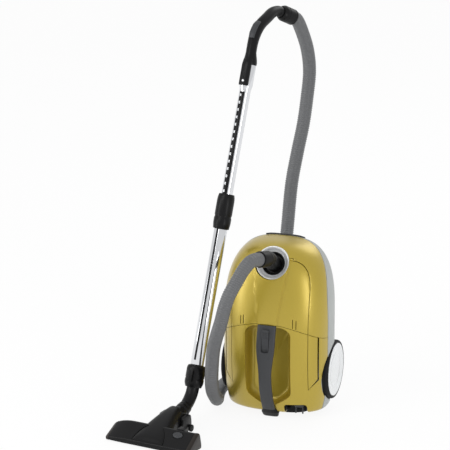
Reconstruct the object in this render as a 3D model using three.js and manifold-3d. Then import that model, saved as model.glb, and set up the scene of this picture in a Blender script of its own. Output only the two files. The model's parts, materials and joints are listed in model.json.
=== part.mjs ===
// Cylinder vacuum cleaner, parked upright on its rear end: machine, hose, bent handle,
// telescopic tube and floor nozzle. Millimetres, +Z up, the machine's lid side faces -Y.
// The origin is on the floor, at the middle of the machine's rear standing face.
import * as THREE from 'three';
import { mergeVertices } from 'three/addons/utils/BufferGeometryUtils.js';
import Module from 'manifold-3d';

const wasm = await Module();
wasm.setup();

// ---------------------------------------------------------------- driving dimensions

// Clearances.
const FIT = 0.3; // between pieces that are fastened together
const SEAM = 1.2; // visible seam between two covers
const RUN = 1.0; // around a piece that turns or slides

// Machine body, standing on its rear end.
const BODY_HEIGHT = 464; // floor to the tip of the nose
const BODY_HALF_WIDTH = 145;
const BODY_FRONT = -107; // lid side at the waist
const BODY_BACK = 94; // runner side
const BODY_MIDDLE = 10; // y of the widest line
const NOSE_START = BODY_HEIGHT - 214; // z where the nose begins to round off
const NOSE_TIP_Y = 46; // y of the highest point
const TAIL_BOTTOM = 14; // z of the shell's lower edge
const TAIL_TAPER_HEIGHT = 130; // z below which the sides draw in
const TAIL_SIDE_TAPER = 16; // how far the sides draw in
const TAIL_FRONT_HEIGHT = 180; // z below which the front draws in
const TAIL_FRONT_TAPER = 36; // how far the front draws in
const TAIL_EDGE = 10; // radius of the shell's lower edge
const BODY_SQUARENESS = 2.5; // exponent of the rounded cross-section
const SHELL_WALL = 3;
const PLINTH_INSET = 24; // the standing plinth sits this far inside the shell
const PARTING_Y = -26; // y of the seam between the covers and the base
const PARTING_NOSE_Y = 34; // the same seam at the nose
const PARTING_BEND = BODY_HEIGHT - 164; // z where the seam starts towards the nose
const RING_POINTS = 28; // points round a cross-section
const INNER_RING_POINTS = 16; // the same inside the walls

// Seams of the covers.
const WAIST_HEIGHT = 268; // arched seam under the lid, at the middle
const WAIST_DROP = 0.0024; // how fast the arch falls to the sides
const LID_HALF_WIDTH = 104;
const LID_TOP = BODY_HEIGHT - 32;
const LID_CORNER_HEIGHT = 82; // the upper corners start this far below the lid's top
const LID_CORNER_WIDTH = 64; // and end this far in from its sides
const LID_HINGE_Y = -51.5; // just under the skin, on the lid's upper seam
const LID_HINGE_Z = LID_TOP;
const LID_PIN_RADIUS = 1.2;
const LID_KNUCKLE_RADIUS = 3;
const LID_KNUCKLE_HALF = 5;
const LID_PIN_X = 49; // middle of each hinge knuckle
const LID_SLIT_X = 71; // pairs of short slits over the waist seam
const LID_SLIT_SPACING = 8.6;
const LID_SLIT_LENGTH = 24;
const LID_SLIT_WIDTH = 1.8;
const PEDAL_INNER_X = 104;
const PEDAL_OUTER_X = 125;
const PEDAL_INNER_Z = 86;
const PEDAL_OUTER_Z = 112;
const PEDAL_TRAVEL = 4;

// Ridge down the middle of the lid.
const RIDGE_RISE = 3.5;
const RIDGE_TOP_HALF = 46;
const RIDGE_LOW_HALF = 24;
const RIDGE_BEVEL = 3;

// Suction inlet in the nose.
const INLET_Y = -57;
const INLET_Z = LID_TOP - 12;
const INLET_TILT = 28; // degrees above level that the inlet faces
const INLET_RADIUS = 45;
const INLET_RIM = 5; // the ring's rim stands this far out
const SOCKET_RADIUS = 29;
const SOCKET_DEPTH = 34;

// Carry handle and the hand hollow behind it.
const HANDLE_TOP_HALF = 25;
const HANDLE_LOW_HALF = 17;
const HANDLE_THICK = 13;
const HOLLOW_HALF_WIDTH = 62;
const HOLLOW_DEPTH = 44;
const HOLLOW_LOW = 36;
const HOLLOW_HIGH = WAIST_HEIGHT - 6;
const GRIP_SLOT_WIDTH = 21;
const GRIP_SLOT_LENGTH = 64;

// Wheels and castor.
const WHEEL_RADIUS = 78;
const WHEEL_Y = 34;
const WHEEL_Z = 111;
const WHEEL_OUTER_X = 148;
const TYRE_WIDTH = 30;
const TYRE_DEPTH = 17; // radial thickness of the tyre
const AXLE_RADIUS = 6;
const WELL_GAP = 2;
const WELL_WALL = 3;
const WELL_LIP_X = 143.5; // the grey lip round the tyre ends here
const WELL_FLARE = 9; // the lip stands this far out of the body at most
const CASTOR_Z = BODY_HEIGHT - 92;
const CASTOR_WHEEL_RADIUS = 15;
const CASTOR_WHEEL_WIDTH = 16;
const CASTOR_TRAIL = 12; // swivel axis to wheel axle
const FLOOR_SIDE_Y = 112; // plane that the wheels and the castor touch in use
const CASTOR_PIVOT_RADIUS = 7;

// Inside the machine.
const BULKHEAD_Z = 172; // top face of the wall under the dust bag
const BULKHEAD_WALL = 3;
const MOTOR_RADIUS = 52;
const MOTOR_LENGTH = 100;
const MOTOR_X = -52; // its axis stands upright
const MOTOR_Y = 14;
const MOTOR_GAP = 4; // under the bulkhead
const MOTOR_WALL = 3;
const FAN_RADIUS = 44;
const SHAFT_RADIUS = 5;
const REEL_X = 74;
const REEL_Y = 5;
const REEL_Z = 90;
const REEL_RADIUS = 64;
const REEL_CORE = 24;
const REEL_WIDTH = 38;
const REEL_FLANGE = 2;
const CORD_RADIUS = 3.2;
const PLUG_LENGTH = 34;
const PLUG_RADIUS = 12;
const PLUG_PIN_SPACING = 19;
const PLUG_PIN_RADIUS = 2;
const PLUG_PIN_LENGTH = 19;
const PLUG_PIN_TIP = 11; // height of the parked pins' tips over the floor
const BAY_WIDTH = 58;
const BAY_TOP = 42; // upper edge of the opening in the cover
const BAY_LINER_TOP = 48; // upper edge of the liner behind it
const HOLDER_HALF = 84; // half width of the dust bag's holder
const GRILLE_WIDTH = 96;
const GRILLE_HEIGHT = 62;
const GRILLE_Z = 84;
const GRILLE_SLATS = 5;

// Hose, handle, tube and nozzle. The tube leans back over the nozzle.
const HOSE_RADIUS = 18; // over the ribs
const HOSE_VALLEY = 16.2; // between the ribs
const HOSE_BORE = 13.5;
const HOSE_RIBS = 43;
const ELBOW_RADIUS = 20;
const COLLAR_CENTRE = new THREE.Vector3(-186, -141, 115);
const TUBE_AXIS = new THREE.Vector3(0.067, 0.352, 0.934).normalize();
const OUTER_TUBE_RADIUS = 17.5;
const OUTER_TUBE_START = 2; // distances along the tube are from the collar's centre
const OUTER_TUBE_END = 468;
const INNER_TUBE_RADIUS = 15;
const INNER_TUBE_START = 396;
const TUBE_WALL = 1;
const COLLAR_RADIUS = 25;
const COLLAR_HALF = 29;
const SLEEVE_RADIUS = 23;
const SLEEVE_START = 392;
const SLEEVE_LENGTH = 92;
const SOCKET_START = 762; // flared upper end of the inner tube
const SOCKET_END = 829;
const SOCKET_TUBE_RADIUS = 17.5;
const HANDLE_START = 806; // the handle's spigot stands in the flared end
const HANDLE_TUBE_RADIUS = 14;
const HANDLE_BORE = 11.5;
const CUFF_START = new THREE.Vector3(-95.6, 315, 993);
const CUFF_AIM = new THREE.Vector3(0.466, 0.76, -0.452).normalize();
const CUFF_RADIUS = 21.5;
const CUFF_LENGTH = 48;
const HOSE_INSERT = 30; // how deep the hose stands in the cuff and in its lower collar
const LOCK_BUTTON_RADIUS = 3.2;
const LOCK_BUTTON_AT = SOCKET_START + 22;
const RAIL_START = 500;
const RAIL_NOTCHES = 8;
const RAIL_PITCH = 30;

// Route of the free hose, from the elbow down beside the wheel and up to the cuff.
const HOSE_START = new THREE.Vector3(-4, INLET_Y - 53, INLET_Z + 27);
const HOSE_START_AIM = new THREE.Vector3(-0.28, -0.93, 0.24).normalize();
const HOSE_LOOP = [[-24, -172, 38], [-36, -194, 22], [-50, -212, -8], [-63, -226, -36],
  [-74, -231, -69], [-86, -226, -112]].map(([x, y, rise]) => [x, y, INLET_Z + rise]);
const HOSE_ROUTE = [...HOSE_LOOP, [-116, -195, 224], [-129, -172, 159], [-134, -160, 118],
  [-139, -138, 80], [-142, -103, 48], [-151, -62, 27], [-161, -28, 19.2], [-170, 12, 18.9],
  [-174, 60, 18.9], [-168, 115, 19.4], [-148, 165, 35], [-125, 205, 80], [-100, 238, 160],
  [-80, 265, 250], [-72, 285, 330], [-71, 305, 400], [-73, 350, 513], [-68, 385, 590],
  [-61, 415, 662], [-57, 434, 730], [-53, 442, 800], [-55, 430, 860], [-61, 400, 918]]
  .map((p) => new THREE.Vector3(...p));

// Floor nozzle, in its own frame: x along the floor edge, y back from it, z up.
const NOZZLE_YAW = -10.8; // degrees
const NOZZLE_REACH = 257; // front edge to the middle of the tube's lower collar
const NOZZLE_WIDTH = 250;
const END_CAP_WIDTH = 11;
const SOLE_CLEARANCE = 3; // sole over the floor
const WING_DEPTH = 70; // front to back of the wide floor piece
const WING_FRONT_HEIGHT = 15;
const WING_TOP = 47;
const SPLIT_HEIGHT = 17; // between the carriage and the hump over it
const HUMP_REAR = 152;
const HUMP_TOP = 67;
const HUMP_FRONT_HALF = 45;
const HUMP_REAR_HALF = 25;
const HUMP_WALL = 2.5;
const CARRIAGE_HALF = 37;
const CARRIAGE_REAR = 172;
const PIVOT_BACK = 150; // tilt axis of the neck
const PIVOT_HEIGHT = 33;
const BARREL_RADIUS = 20;
const BARREL_HALF = 25;
const PIVOT_PIN_RADIUS = 5;
const NECK_RISE = 14.6; // degrees, of the neck's lower stretch
const NECK_RADIUS = 16.5;
const NECK_BORE = 13;
const YOKE_WALL = 2.3;
const SWIVEL_START = 26; // from the tilt axis along the neck
const SWIVEL_END = 46;
const BRUSH_DEPTH = 6;
const INTAKE_DEPTH = 22;
const NOZZLE_WHEEL_RADIUS = 9.5;
const NOZZLE_WHEEL_WIDTH = 7;
const NOZZLE_WHEEL_BACK = 163;
const FLOOR_PEDAL_X = NOZZLE_WIDTH / 2 - 53;
const FLOOR_PEDAL_Y = 38;

// ---------------------------------------------------------------- shape helpers

const rad = THREE.MathUtils.degToRad;
const clamp01 = (t) => Math.min(1, Math.max(0, t));

/** Closed solid of a three.js geometry, turned right side out. */
function solid(geometry) {
  let g = geometry.clone();
  for (const name of Object.keys(g.attributes)) {
    if (name !== 'position') g.deleteAttribute(name);
  }
  g = mergeVertices(g, 1e-4);
  const position = g.attributes.position;
  const triangles = [];
  let volume = 0;
  const a = new THREE.Vector3();
  const b = new THREE.Vector3();
  const c = new THREE.Vector3();
  for (let i = 0; i < g.index.count; i += 3) {
    const [ia, ib, ic] = [0, 1, 2].map((k) => g.index.getX(i + k));
    if (ia === ib || ib === ic || ic === ia) continue;
    triangles.push(ia, ib, ic);
    a.fromBufferAttribute(position, ia);
    b.fromBufferAttribute(position, ib);
    c.fromBufferAttribute(position, ic);
    volume += a.dot(b.cross(c));
  }
  if (volume < 0) triangles.reverse();
  const mesh = new wasm.Mesh({
    numProp: 3,
    vertProperties: new Float32Array(position.array),
    triVerts: new Uint32Array(triangles),
  });
  return new wasm.Manifold(mesh);
}

/** three.js geometry of a solid. */
function geometryOf(manifold) {
  const mesh = manifold.getMesh();
  const g = new THREE.BufferGeometry();
  g.setAttribute('position', new THREE.BufferAttribute(new Float32Array(mesh.vertProperties), 3));
  g.setIndex(new THREE.BufferAttribute(new Uint32Array(mesh.triVerts), 1));
  g.computeVertexNormals();
  return g;
}

const join = (...solids) => solids.reduce((all, next) => all.add(next));
const cut = (body, ...tools) => tools.reduce((left, tool) => left.subtract(tool), body);
const common = (...solids) => solids.reduce((all, next) => all.intersect(next));

/** Box between two corners. */
function box(x0, y0, z0, x1, y1, z1) {
  const g = new THREE.BoxGeometry(x1 - x0, y1 - y0, z1 - z0);
  return solid(g.translate((x0 + x1) / 2, (y0 + y1) / 2, (z0 + z1) / 2));
}

/** Turns a geometry whose length runs along +Y so that it runs along a direction. */
function aim(geometry, direction, origin = new THREE.Vector3()) {
  const turn = new THREE.Quaternion().setFromUnitVectors(
    new THREE.Vector3(0, 1, 0),
    direction.clone().normalize(),
  );
  return geometry.applyQuaternion(turn).translate(origin.x, origin.y, origin.z);
}

const X_AXIS = new THREE.Vector3(1, 0, 0);
const Y_AXIS = new THREE.Vector3(0, 1, 0);
const Z_AXIS = new THREE.Vector3(0, 0, 1);

/** Revolved solid: profile points are [radius, distance along the axis]. */
function revolve(profile, sides, axis = Z_AXIS, origin = new THREE.Vector3()) {
  const points = profile.map(([r, h]) => new THREE.Vector2(Math.max(r, 0), h));
  return solid(aim(new THREE.LatheGeometry(points, sides), axis, origin));
}

/** Radius of a bore of flat facets that clears a round piece by the fit. */
const seat = (radius, sides) => (radius + FIT) / Math.cos(Math.PI / sides);

/** Plain round bar from one distance to another along an axis. */
function bar(radius, from, to, sides, axis = Z_AXIS, origin = new THREE.Vector3()) {
  return revolve([[0, from], [radius, from], [radius, to], [0, to]], sides, axis, origin);
}

/** Round tube with a bore. */
function pipe(outer, inner, from, to, sides, axis = Z_AXIS, origin = new THREE.Vector3()) {
  const profile = [[inner, from], [outer, from], [outer, to], [inner, to], [inner, from]];
  return revolve(profile, sides, axis, origin);
}

/** Outline through points, as a shape. */
const outline = (points) => new THREE.Shape(points.map(([u, v]) => new THREE.Vector2(u, v)));

/** Outline with its corners rounded; each point is [u, v, radius]. */
function roundedOutline(corners, steps = 4) {
  const points = [];
  corners.forEach(([u, v, radius = 0], i) => {
    const corner = new THREE.Vector2(u, v);
    const before = corners[(i + corners.length - 1) % corners.length];
    const after = corners[(i + 1) % corners.length];
    const towardsBefore = new THREE.Vector2(before[0], before[1]).sub(corner);
    const towardsAfter = new THREE.Vector2(after[0], after[1]).sub(corner);
    const reach = Math.min(radius, towardsBefore.length() * 0.49, towardsAfter.length() * 0.49);
    if (reach <= 0) {
      points.push([u, v]);
      return;
    }
    const start = corner.clone().add(towardsBefore.normalize().multiplyScalar(reach));
    const end = corner.clone().add(towardsAfter.normalize().multiplyScalar(reach));
    const bend = new THREE.QuadraticBezierCurve(start, corner, end);
    for (const p of bend.getPoints(steps)) points.push([p.x, p.y]);
  });
  return outline(points);
}

/** Rounded rectangle centred on (u, v). */
function roundedRectangle(u, v, width, height, radius, steps = 3) {
  const w = width / 2;
  const h = height / 2;
  const corners = [[u - w, v - h, radius], [u + w, v - h, radius], [u + w, v + h, radius],
    [u - w, v + h, radius]];
  return roundedOutline(corners, steps);
}

/** Prism of an outline drawn in (y, z), from x0 to x1. */
function prismX(shape, x0, x1) {
  const g = new THREE.ExtrudeGeometry(shape, { depth: x1 - x0, bevelEnabled: false });
  const basis = new THREE.Matrix4().makeBasis(Y_AXIS, Z_AXIS, X_AXIS);
  return solid(g.applyMatrix4(basis).translate(x0, 0, 0));
}

/** Prism of an outline drawn in (x, z), from y0 to y1. */
function prismY(shape, y0, y1) {
  const g = new THREE.ExtrudeGeometry(shape, { depth: y1 - y0, bevelEnabled: false });
  const basis = new THREE.Matrix4().makeBasis(X_AXIS, Z_AXIS, Y_AXIS.clone().negate());
  return solid(g.applyMatrix4(basis).translate(0, y1, 0));
}

/** Solid through a stack of rings with the same number of points, closed at both ends. */
function loft(rings) {
  const count = rings[0].length;
  const vertices = rings.flat().flatMap((p) => [p.x, p.y, p.z]);
  const faces = [];
  for (let k = 0; k + 1 < rings.length; k += 1) {
    for (let i = 0; i < count; i += 1) {
      const j = (i + 1) % count;
      const low = k * count;
      const high = low + count;
      faces.push(low + i, low + j, high + j, low + i, high + j, high + i);
    }
  }
  for (const [k, flip] of [[0, true], [rings.length - 1, false]]) {
    const middle = new THREE.Vector3();
    rings[k].forEach((p) => middle.add(p));
    middle.divideScalar(count);
    const hub = vertices.length / 3;
    vertices.push(middle.x, middle.y, middle.z);
    for (let i = 0; i < count; i += 1) {
      const a = k * count + i;
      const b = k * count + ((i + 1) % count);
      faces.push(hub, ...(flip ? [b, a] : [a, b]));
    }
  }
  const g = new THREE.BufferGeometry();
  g.setAttribute('position', new THREE.Float32BufferAttribute(vertices, 3));
  g.setIndex(faces);
  return solid(g);
}

/** Frames along a curve that turn as little as possible, at evenly spaced points. */
function framesAlong(curve, steps, firstNormal) {
  const frames = [];
  let normal = firstNormal.clone();
  for (let i = 0; i <= steps; i += 1) {
    const point = curve.getPointAt(i / steps);
    const tangent = curve.getTangentAt(i / steps);
    normal = normal.clone().addScaledVector(tangent, -normal.dot(tangent)).normalize();
    frames.push({ point, tangent, normal, side: tangent.clone().cross(normal) });
  }
  return frames;
}

/** Ring of points in a frame; each outline point is [along the normal, along the side]. */
function ringIn(frame, points) {
  return points.map(([u, v]) => frame.point.clone()
    .addScaledVector(frame.normal, u).addScaledVector(frame.side, v));
}

/** Points of a rounded section with half sizes u and v; exponent 2 is an ellipse. */
function section(u, v, count, exponent = 2) {
  const points = [];
  for (let i = 0; i < count; i += 1) {
    const t = (2 * Math.PI * i) / count;
    const bend = (c) => Math.sign(c) * Math.abs(c) ** (2 / exponent);
    points.push([u * bend(Math.cos(t)), v * bend(Math.sin(t))]);
  }
  return points;
}

/**
 * Tube along a curve. Stations are [distance along it, outer radius, bore]; the bore may
 * miss a station, and two stations at one distance make a step.
 */
function hollowSweep(curve, stations, sides, firstNormal) {
  const length = curve.getLength();
  const vertices = [];
  const faces = [];
  let normal = firstNormal.clone();
  const ring = (frame, radius) => {
    const first = vertices.length / 3;
    for (const p of ringIn(frame, section(radius, radius, sides))) vertices.push(p.x, p.y, p.z);
    return first;
  };
  const outer = [];
  const inner = [];
  for (const [distance, radius, bore] of stations) {
    const t = clamp01(distance / length);
    const tangent = curve.getTangentAt(t);
    normal = normal.clone().addScaledVector(tangent, -normal.dot(tangent)).normalize();
    const frame = { point: curve.getPointAt(t), normal, side: tangent.clone().cross(normal) };
    if (radius) outer.push(ring(frame, radius));
    if (bore) inner.push(ring(frame, bore));
  }
  const band = (low, high, flip) => {
    for (let i = 0; i < sides; i += 1) {
      const j = (i + 1) % sides;
      const [a, b, c, d] = [low + i, low + j, high + j, high + i];
      faces.push(...(flip ? [a, c, b, a, d, c] : [a, b, c, a, c, d]));
    }
  };
  for (let k = 0; k + 1 < outer.length; k += 1) band(outer[k], outer[k + 1], false);
  for (let k = 0; k + 1 < inner.length; k += 1) band(inner[k], inner[k + 1], true);
  band(outer[0], inner[0], true);
  band(outer.at(-1), inner.at(-1), false);
  const g = new THREE.BufferGeometry();
  g.setAttribute('position', new THREE.Float32BufferAttribute(vertices, 3));
  g.setIndex(faces);
  g.computeVertexNormals();
  return g;
}

/** Distances from one value to another in equal steps. */
const spaced = (from, to, steps) => Array.from({ length: steps + 1 },
  (_, i) => from + ((to - from) * i) / steps);

/** Round solid along a curve; radiusAt gives the radius for 0 to 1 along it. */
function sweep(curve, radiusAt, steps, sides, firstNormal) {
  const frames = framesAlong(curve, steps, firstNormal);
  return loft(frames.map((f, i) => {
    const r = radiusAt(i / steps);
    return ringIn(f, section(r, r, sides));
  }));
}

// ---------------------------------------------------------------- scene graph

const FINISH = {
  gold: { color: 0xb39b26, roughness: 0.28, metalness: 0.55 },
  baseGrey: { color: 0x9aa09c, roughness: 0.5, metalness: 0.0 },
  darkGrey: { color: 0x4b4d4f, roughness: 0.55, metalness: 0.0 },
  black: { color: 0x17181a, roughness: 0.45, metalness: 0.0 },
  rubber: { color: 0x1b1b1c, roughness: 0.85, metalness: 0.0 },
  silver: { color: 0xc9ccd0, roughness: 0.3, metalness: 0.6 },
  white: { color: 0xe6e9ea, roughness: 0.35, metalness: 0.1 },
  chrome: { color: 0xd8dbde, roughness: 0.08, metalness: 1.0 },
  steel: { color: 0x9c9fa3, roughness: 0.35, metalness: 1.0 },
  copper: { color: 0xa8622f, roughness: 0.4, metalness: 0.9 },
  hoseGrey: { color: 0x6c6f70, roughness: 0.5, metalness: 0.0 },
  paper: { color: 0xd9cfb4, roughness: 0.9, metalness: 0.0 },
  foam: { color: 0x5b6670, roughness: 0.95, metalness: 0.0 },
  cordBlack: { color: 0x202124, roughness: 0.6, metalness: 0.0 },
  noseBrown: { color: 0x2a2622, roughness: 0.4, metalness: 0.0 },
};

const vacuum = new THREE.Group();

/** Adds one named piece. */
function piece(name, shape, finish, parent = vacuum) {
  const geometry = shape.isBufferGeometry ? shape : geometryOf(shape);
  const mesh = new THREE.Mesh(geometry, new THREE.MeshStandardMaterial(FINISH[finish]));
  mesh.name = name;
  parent.add(mesh);
  return mesh;
}

// ---------------------------------------------------------------- machine body form

/** Cross-section of the body at a height, a given distance inside the outer skin. */
function bodyRing(z, inset, points = RING_POINTS) {
  const top = BODY_HEIGHT - inset;
  const bottom = TAIL_BOTTOM + inset;
  const nose = clamp01((z - NOSE_START) / (top - NOSE_START));
  const sideTail = clamp01((TAIL_TAPER_HEIGHT - z) / TAIL_TAPER_HEIGHT);
  const frontTail = clamp01((TAIL_FRONT_HEIGHT - z) / TAIL_FRONT_HEIGHT);
  const edge = Math.max(0, TAIL_EDGE - (z - bottom));
  const tuck = TAIL_EDGE - Math.sqrt(Math.max(0, TAIL_EDGE ** 2 - edge ** 2));
  const middle = BODY_MIDDLE + (NOSE_TIP_Y - BODY_MIDDLE) * nose ** 2;
  const narrowing = (1 - nose ** 3) ** (1 / 3);
  const half = (BODY_HALF_WIDTH - inset) * narrowing - TAIL_SIDE_TAPER * sideTail ** 2 - tuck;
  const frontReach = (NOSE_TIP_Y - BODY_FRONT - inset) * (1 - nose ** 1.5) ** 0.233;
  const front = NOSE_TIP_Y - frontReach + TAIL_FRONT_TAPER * frontTail ** 2.2 + tuck;
  const backReach = (BODY_BACK - NOSE_TIP_Y - inset) * Math.sqrt(1 - nose ** 3.5);
  const back = NOSE_TIP_Y + backReach - tuck;
  return section(half, 1, points, BODY_SQUARENESS).map(([x, side]) => {
    const depth = side < 0 ? middle - front : back - middle;
    return new THREE.Vector3(x, middle + side * depth, z);
  });
}

/** The whole body as a solid, a given distance inside the outer skin. */
function bodyForm(inset = 0) {
  const bottom = TAIL_BOTTOM + inset;
  const top = BODY_HEIGHT - inset;
  const coarse = inset >= SHELL_WALL; // hidden inner faces take fewer facets
  const edge = coarse ? [0, 1] : [0, 0.35, 1];
  const waist = coarse ? [0.5, 1] : [0.27, 0.6, 1];
  const nose = coarse ? [0.4, 0.72, 0.92, 1] : [0.3, 0.56, 0.76, 0.89, 0.96, 0.99, 1];
  const heights = [
    ...edge.map((t) => bottom + TAIL_EDGE * t),
    ...waist.map((t) => bottom + TAIL_EDGE + (NOSE_START - bottom - TAIL_EDGE) * t),
    ...nose.map((t) => NOSE_START + (top - NOSE_START) * t),
  ];
  return loft(heights.map((z) => bodyRing(z, inset, coarse ? INNER_RING_POINTS : RING_POINTS)));
}

/** Straight plinth under the body. */
function plinth(top) {
  const rings = [0, top].map((z) => bodyRing(TAIL_BOTTOM + TAIL_EDGE + PLINTH_INSET, PLINTH_INSET)
    .map((p) => new THREE.Vector3(p.x, p.y, z)));
  return loft(rings);
}

const waistAt = (x) => WAIST_HEIGHT - WAIST_DROP * x * x;
const FAR = 400; // past every face of the machine

/** Everything on the lid side of the seam between covers and base. */
function coverSide(shift) {
  const bend = new THREE.QuadraticBezierCurve(
    new THREE.Vector2(PARTING_Y + shift, PARTING_BEND),
    new THREE.Vector2(PARTING_Y + shift, (PARTING_BEND + BODY_HEIGHT) / 2),
    new THREE.Vector2(PARTING_NOSE_Y + shift, BODY_HEIGHT + SHELL_WALL),
  );
  const points = bend.getPoints(4).map((p) => [p.x, p.y]);
  const shape = outline([[-FAR, 0], [PARTING_Y + shift, 0], ...points,
    [PARTING_NOSE_Y + shift, FAR + BODY_HEIGHT], [-FAR, FAR + BODY_HEIGHT]]);
  return prismX(shape, -FAR, FAR);
}

/** Everything below the arched waist seam. */
function belowWaist(shift) {
  const arch = [];
  for (let i = 0; i <= 12; i += 1) {
    const x = BODY_HALF_WIDTH * 1.1 * (1 - i / 6);
    arch.push([x, waistAt(x) + shift]);
  }
  const low = arch[0][0];
  return prismY(outline([...arch, [-low, -FAR], [low, -FAR]]), -FAR, FAR);
}

/** Column through the lid; grow is negative for the lid and positive for its opening. */
function lidColumn(grow) {
  const half = LID_HALF_WIDTH + grow;
  const top = LID_TOP + grow;
  const corner = new THREE.QuadraticBezierCurve(
    new THREE.Vector2(half, top - LID_CORNER_HEIGHT),
    new THREE.Vector2(half, top),
    new THREE.Vector2(half - LID_CORNER_WIDTH, top),
  );
  const right = corner.getPoints(5).map((p) => [p.x, p.y]);
  const left = right.map(([x, z]) => [-x, z]).reverse();
  const arch = [];
  for (let i = 0; i <= 8; i += 1) {
    const x = half * (i / 4 - 1);
    arch.push([x, waistAt(x) - grow]);
  }
  return prismY(outline([...arch, ...right, ...left]), -FAR, NOSE_TIP_Y);
}

/** Column through a side pedal; side is 1 for the right one and -1 for the left one. */
function pedalColumn(side, grow) {
  const inner = PEDAL_INNER_X - grow;
  const outer = PEDAL_OUTER_X + grow;
  const slant = grow * 1.4;
  const points = [[inner, PEDAL_INNER_Z - slant], [outer, PEDAL_OUTER_Z - slant],
    [outer, waistAt(outer) + grow], [inner, waistAt(inner) + grow]];
  return prismY(outline(points.map(([x, z]) => [side * x, z])), -FAR, 0);
}

const inletAim = new THREE.Vector3(0, -Math.cos(rad(INLET_TILT)), Math.sin(rad(INLET_TILT)));
const inletCentre = new THREE.Vector3(0, INLET_Y, INLET_Z);

/** Hand hollow under the carry handle, grown by the wall of its moulded pocket. */
function handHollow(grow) {
  const layers = [[-40, 0], [0, 0], [0.55, 3], [0.85, 9], [1, 17]];
  const rings = layers.map(([depth, inset]) => {
    const half = HOLLOW_HALF_WIDTH + grow - inset;
    const low = HOLLOW_LOW - grow + inset;
    const high = HOLLOW_HIGH + Math.min(grow, 1.5) - inset;
    const corners = [[-half, low + 30, 14], [-18, low, 16], [18, low, 16], [half, low + 30, 14],
      [half, high - 36, 16], [25, high, 16], [-25, high, 16], [-half, high - 36, 16]];
    const y = depth < 0 ? BODY_FRONT + depth : BODY_FRONT + (HOLLOW_DEPTH + grow) * depth;
    return roundedOutline(corners, 1).getPoints().map((p) => new THREE.Vector3(p.x, y, p.y));
  });
  return loft(rings);
}

/** Curve of the carry handle's middle line. */
const handleCurve = new THREE.CatmullRomCurve3([[-107, WAIST_HEIGHT - 3],
  [-117, WAIST_HEIGHT - 40], [-124, (WAIST_HEIGHT + 68) / 2],
  [-121, 108], [-105, 60], [-85, 24]].map(([y, z]) => new THREE.Vector3(0, y, z)));

/** The carry handle, grown by a clearance. */
function handleForm(grow = 0) {
  const steps = 10;
  const frames = framesAlong(handleCurve, steps, X_AXIS);
  return loft(frames.map((frame, i) => {
    const t = i / steps;
    const taper = THREE.MathUtils.smoothstep(t, 0.2, 0.55);
    const half = HANDLE_TOP_HALF + (HANDLE_LOW_HALF - HANDLE_TOP_HALF) * taper + grow;
    return ringIn(frame, section(half, HANDLE_THICK / 2 + grow, 12, 3.2));
  }));
}

// ---------------------------------------------------------------- covers, lid and pedals

const inside = bodyForm(SHELL_WALL);
const outside = bodyForm();
const skin = cut(outside, inside);
const covers = common(skin, coverSide(-SEAM / 2));

const WHEEL_SIDES = 18;
const INLET_SIDES = 22;
const BORE_SIDES = 10;
const wheelAxis = (side) => new THREE.Vector3(side, 0, 0);
const wheelCentre = new THREE.Vector3(0, WHEEL_Y, WHEEL_Z);
const WELL_RADIUS = WHEEL_RADIUS + WELL_GAP;
const WELL_INNER_X = WHEEL_OUTER_X - TYRE_WIDTH - WELL_GAP;
const LIP_RADIUS = WELL_RADIUS + WELL_WALL;

/** Round space in the body's side, from a distance outwards. */
function wheelSpace(side, radius, fromX) {
  return bar(radius, fromX, FAR, WHEEL_SIDES, wheelAxis(side), wheelCentre);
}

const ringHole = bar(INLET_RADIUS + FIT, -60, 90, INLET_SIDES, inletAim, inletCentre);
const pocket = handHollow(SHELL_WALL);
const hollow = handHollow(0);
const handleSeat = handleForm(FIT);

/** Middle band standing proud of the lid, wide under the inlet and narrow at the waist. */
function lidRidge(rise, spread) {
  const wide = RIDGE_TOP_HALF + spread;
  const narrow = RIDGE_LOW_HALF + spread;
  const shape = outline([[-narrow, 0], [narrow, 0], [narrow, WAIST_HEIGHT], [wide, INLET_Z],
    [wide, FAR + BODY_HEIGHT], [-wide, FAR + BODY_HEIGHT], [-wide, INLET_Z],
    [-narrow, WAIST_HEIGHT]]);
  return common(cut(bodyForm(-rise), inside), prismY(shape, -FAR, 0));
}

/** Lid hinge on one side: the lid's knuckle, the hood's lug beside it and their spaces. */
function hingeAt(side) {
  const at = new THREE.Vector3(side * LID_PIN_X, LID_HINGE_Y, LID_HINGE_Z);
  const half = LID_KNUCKLE_HALF;
  const turned = (radius, from, to) => bar(radius, from, to, 10, wheelAxis(side), at);
  return {
    knuckle: turned(LID_KNUCKLE_RADIUS, -half, half),
    knuckleSpace: turned(LID_KNUCKLE_RADIUS + RUN, -half - RUN, half + RUN / 2),
    lug: turned(LID_KNUCKLE_RADIUS, half + RUN, half + RUN + 6),
    lugSpace: turned(LID_KNUCKLE_RADIUS + RUN, half + RUN / 2, half + 2 * RUN + 6),
    bore: turned(LID_PIN_RADIUS + FIT, -half - 1, half + RUN + 7),
  };
}

function makeLid() {
  const column = lidColumn(-SEAM / 2);
  let lid = common(covers, column);
  lid = join(lid, common(lidRidge(RIDGE_RISE / 2, RIDGE_BEVEL), column));
  lid = join(lid, common(lidRidge(RIDGE_RISE, 0), column));
  lid = cut(lid, bar(INLET_RADIUS + SEAM, -60, 90, INLET_SIDES, inletAim, inletCentre));
  for (const side of [-1, 1]) {
    const { knuckle, lugSpace, bore } = hingeAt(side);
    lid = cut(join(cut(lid, lugSpace), knuckle), bore);
    for (const step of [-0.5, 0.5]) {
      const slitX = side * (LID_SLIT_X + step * LID_SLIT_SPACING);
      const low = waistAt(slitX) + 3;
      lid = cut(lid, box(slitX - LID_SLIT_WIDTH / 2, -FAR, low,
        slitX + LID_SLIT_WIDTH / 2, 0, low + LID_SLIT_LENGTH));
    }
  }
  return lid;
}

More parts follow.
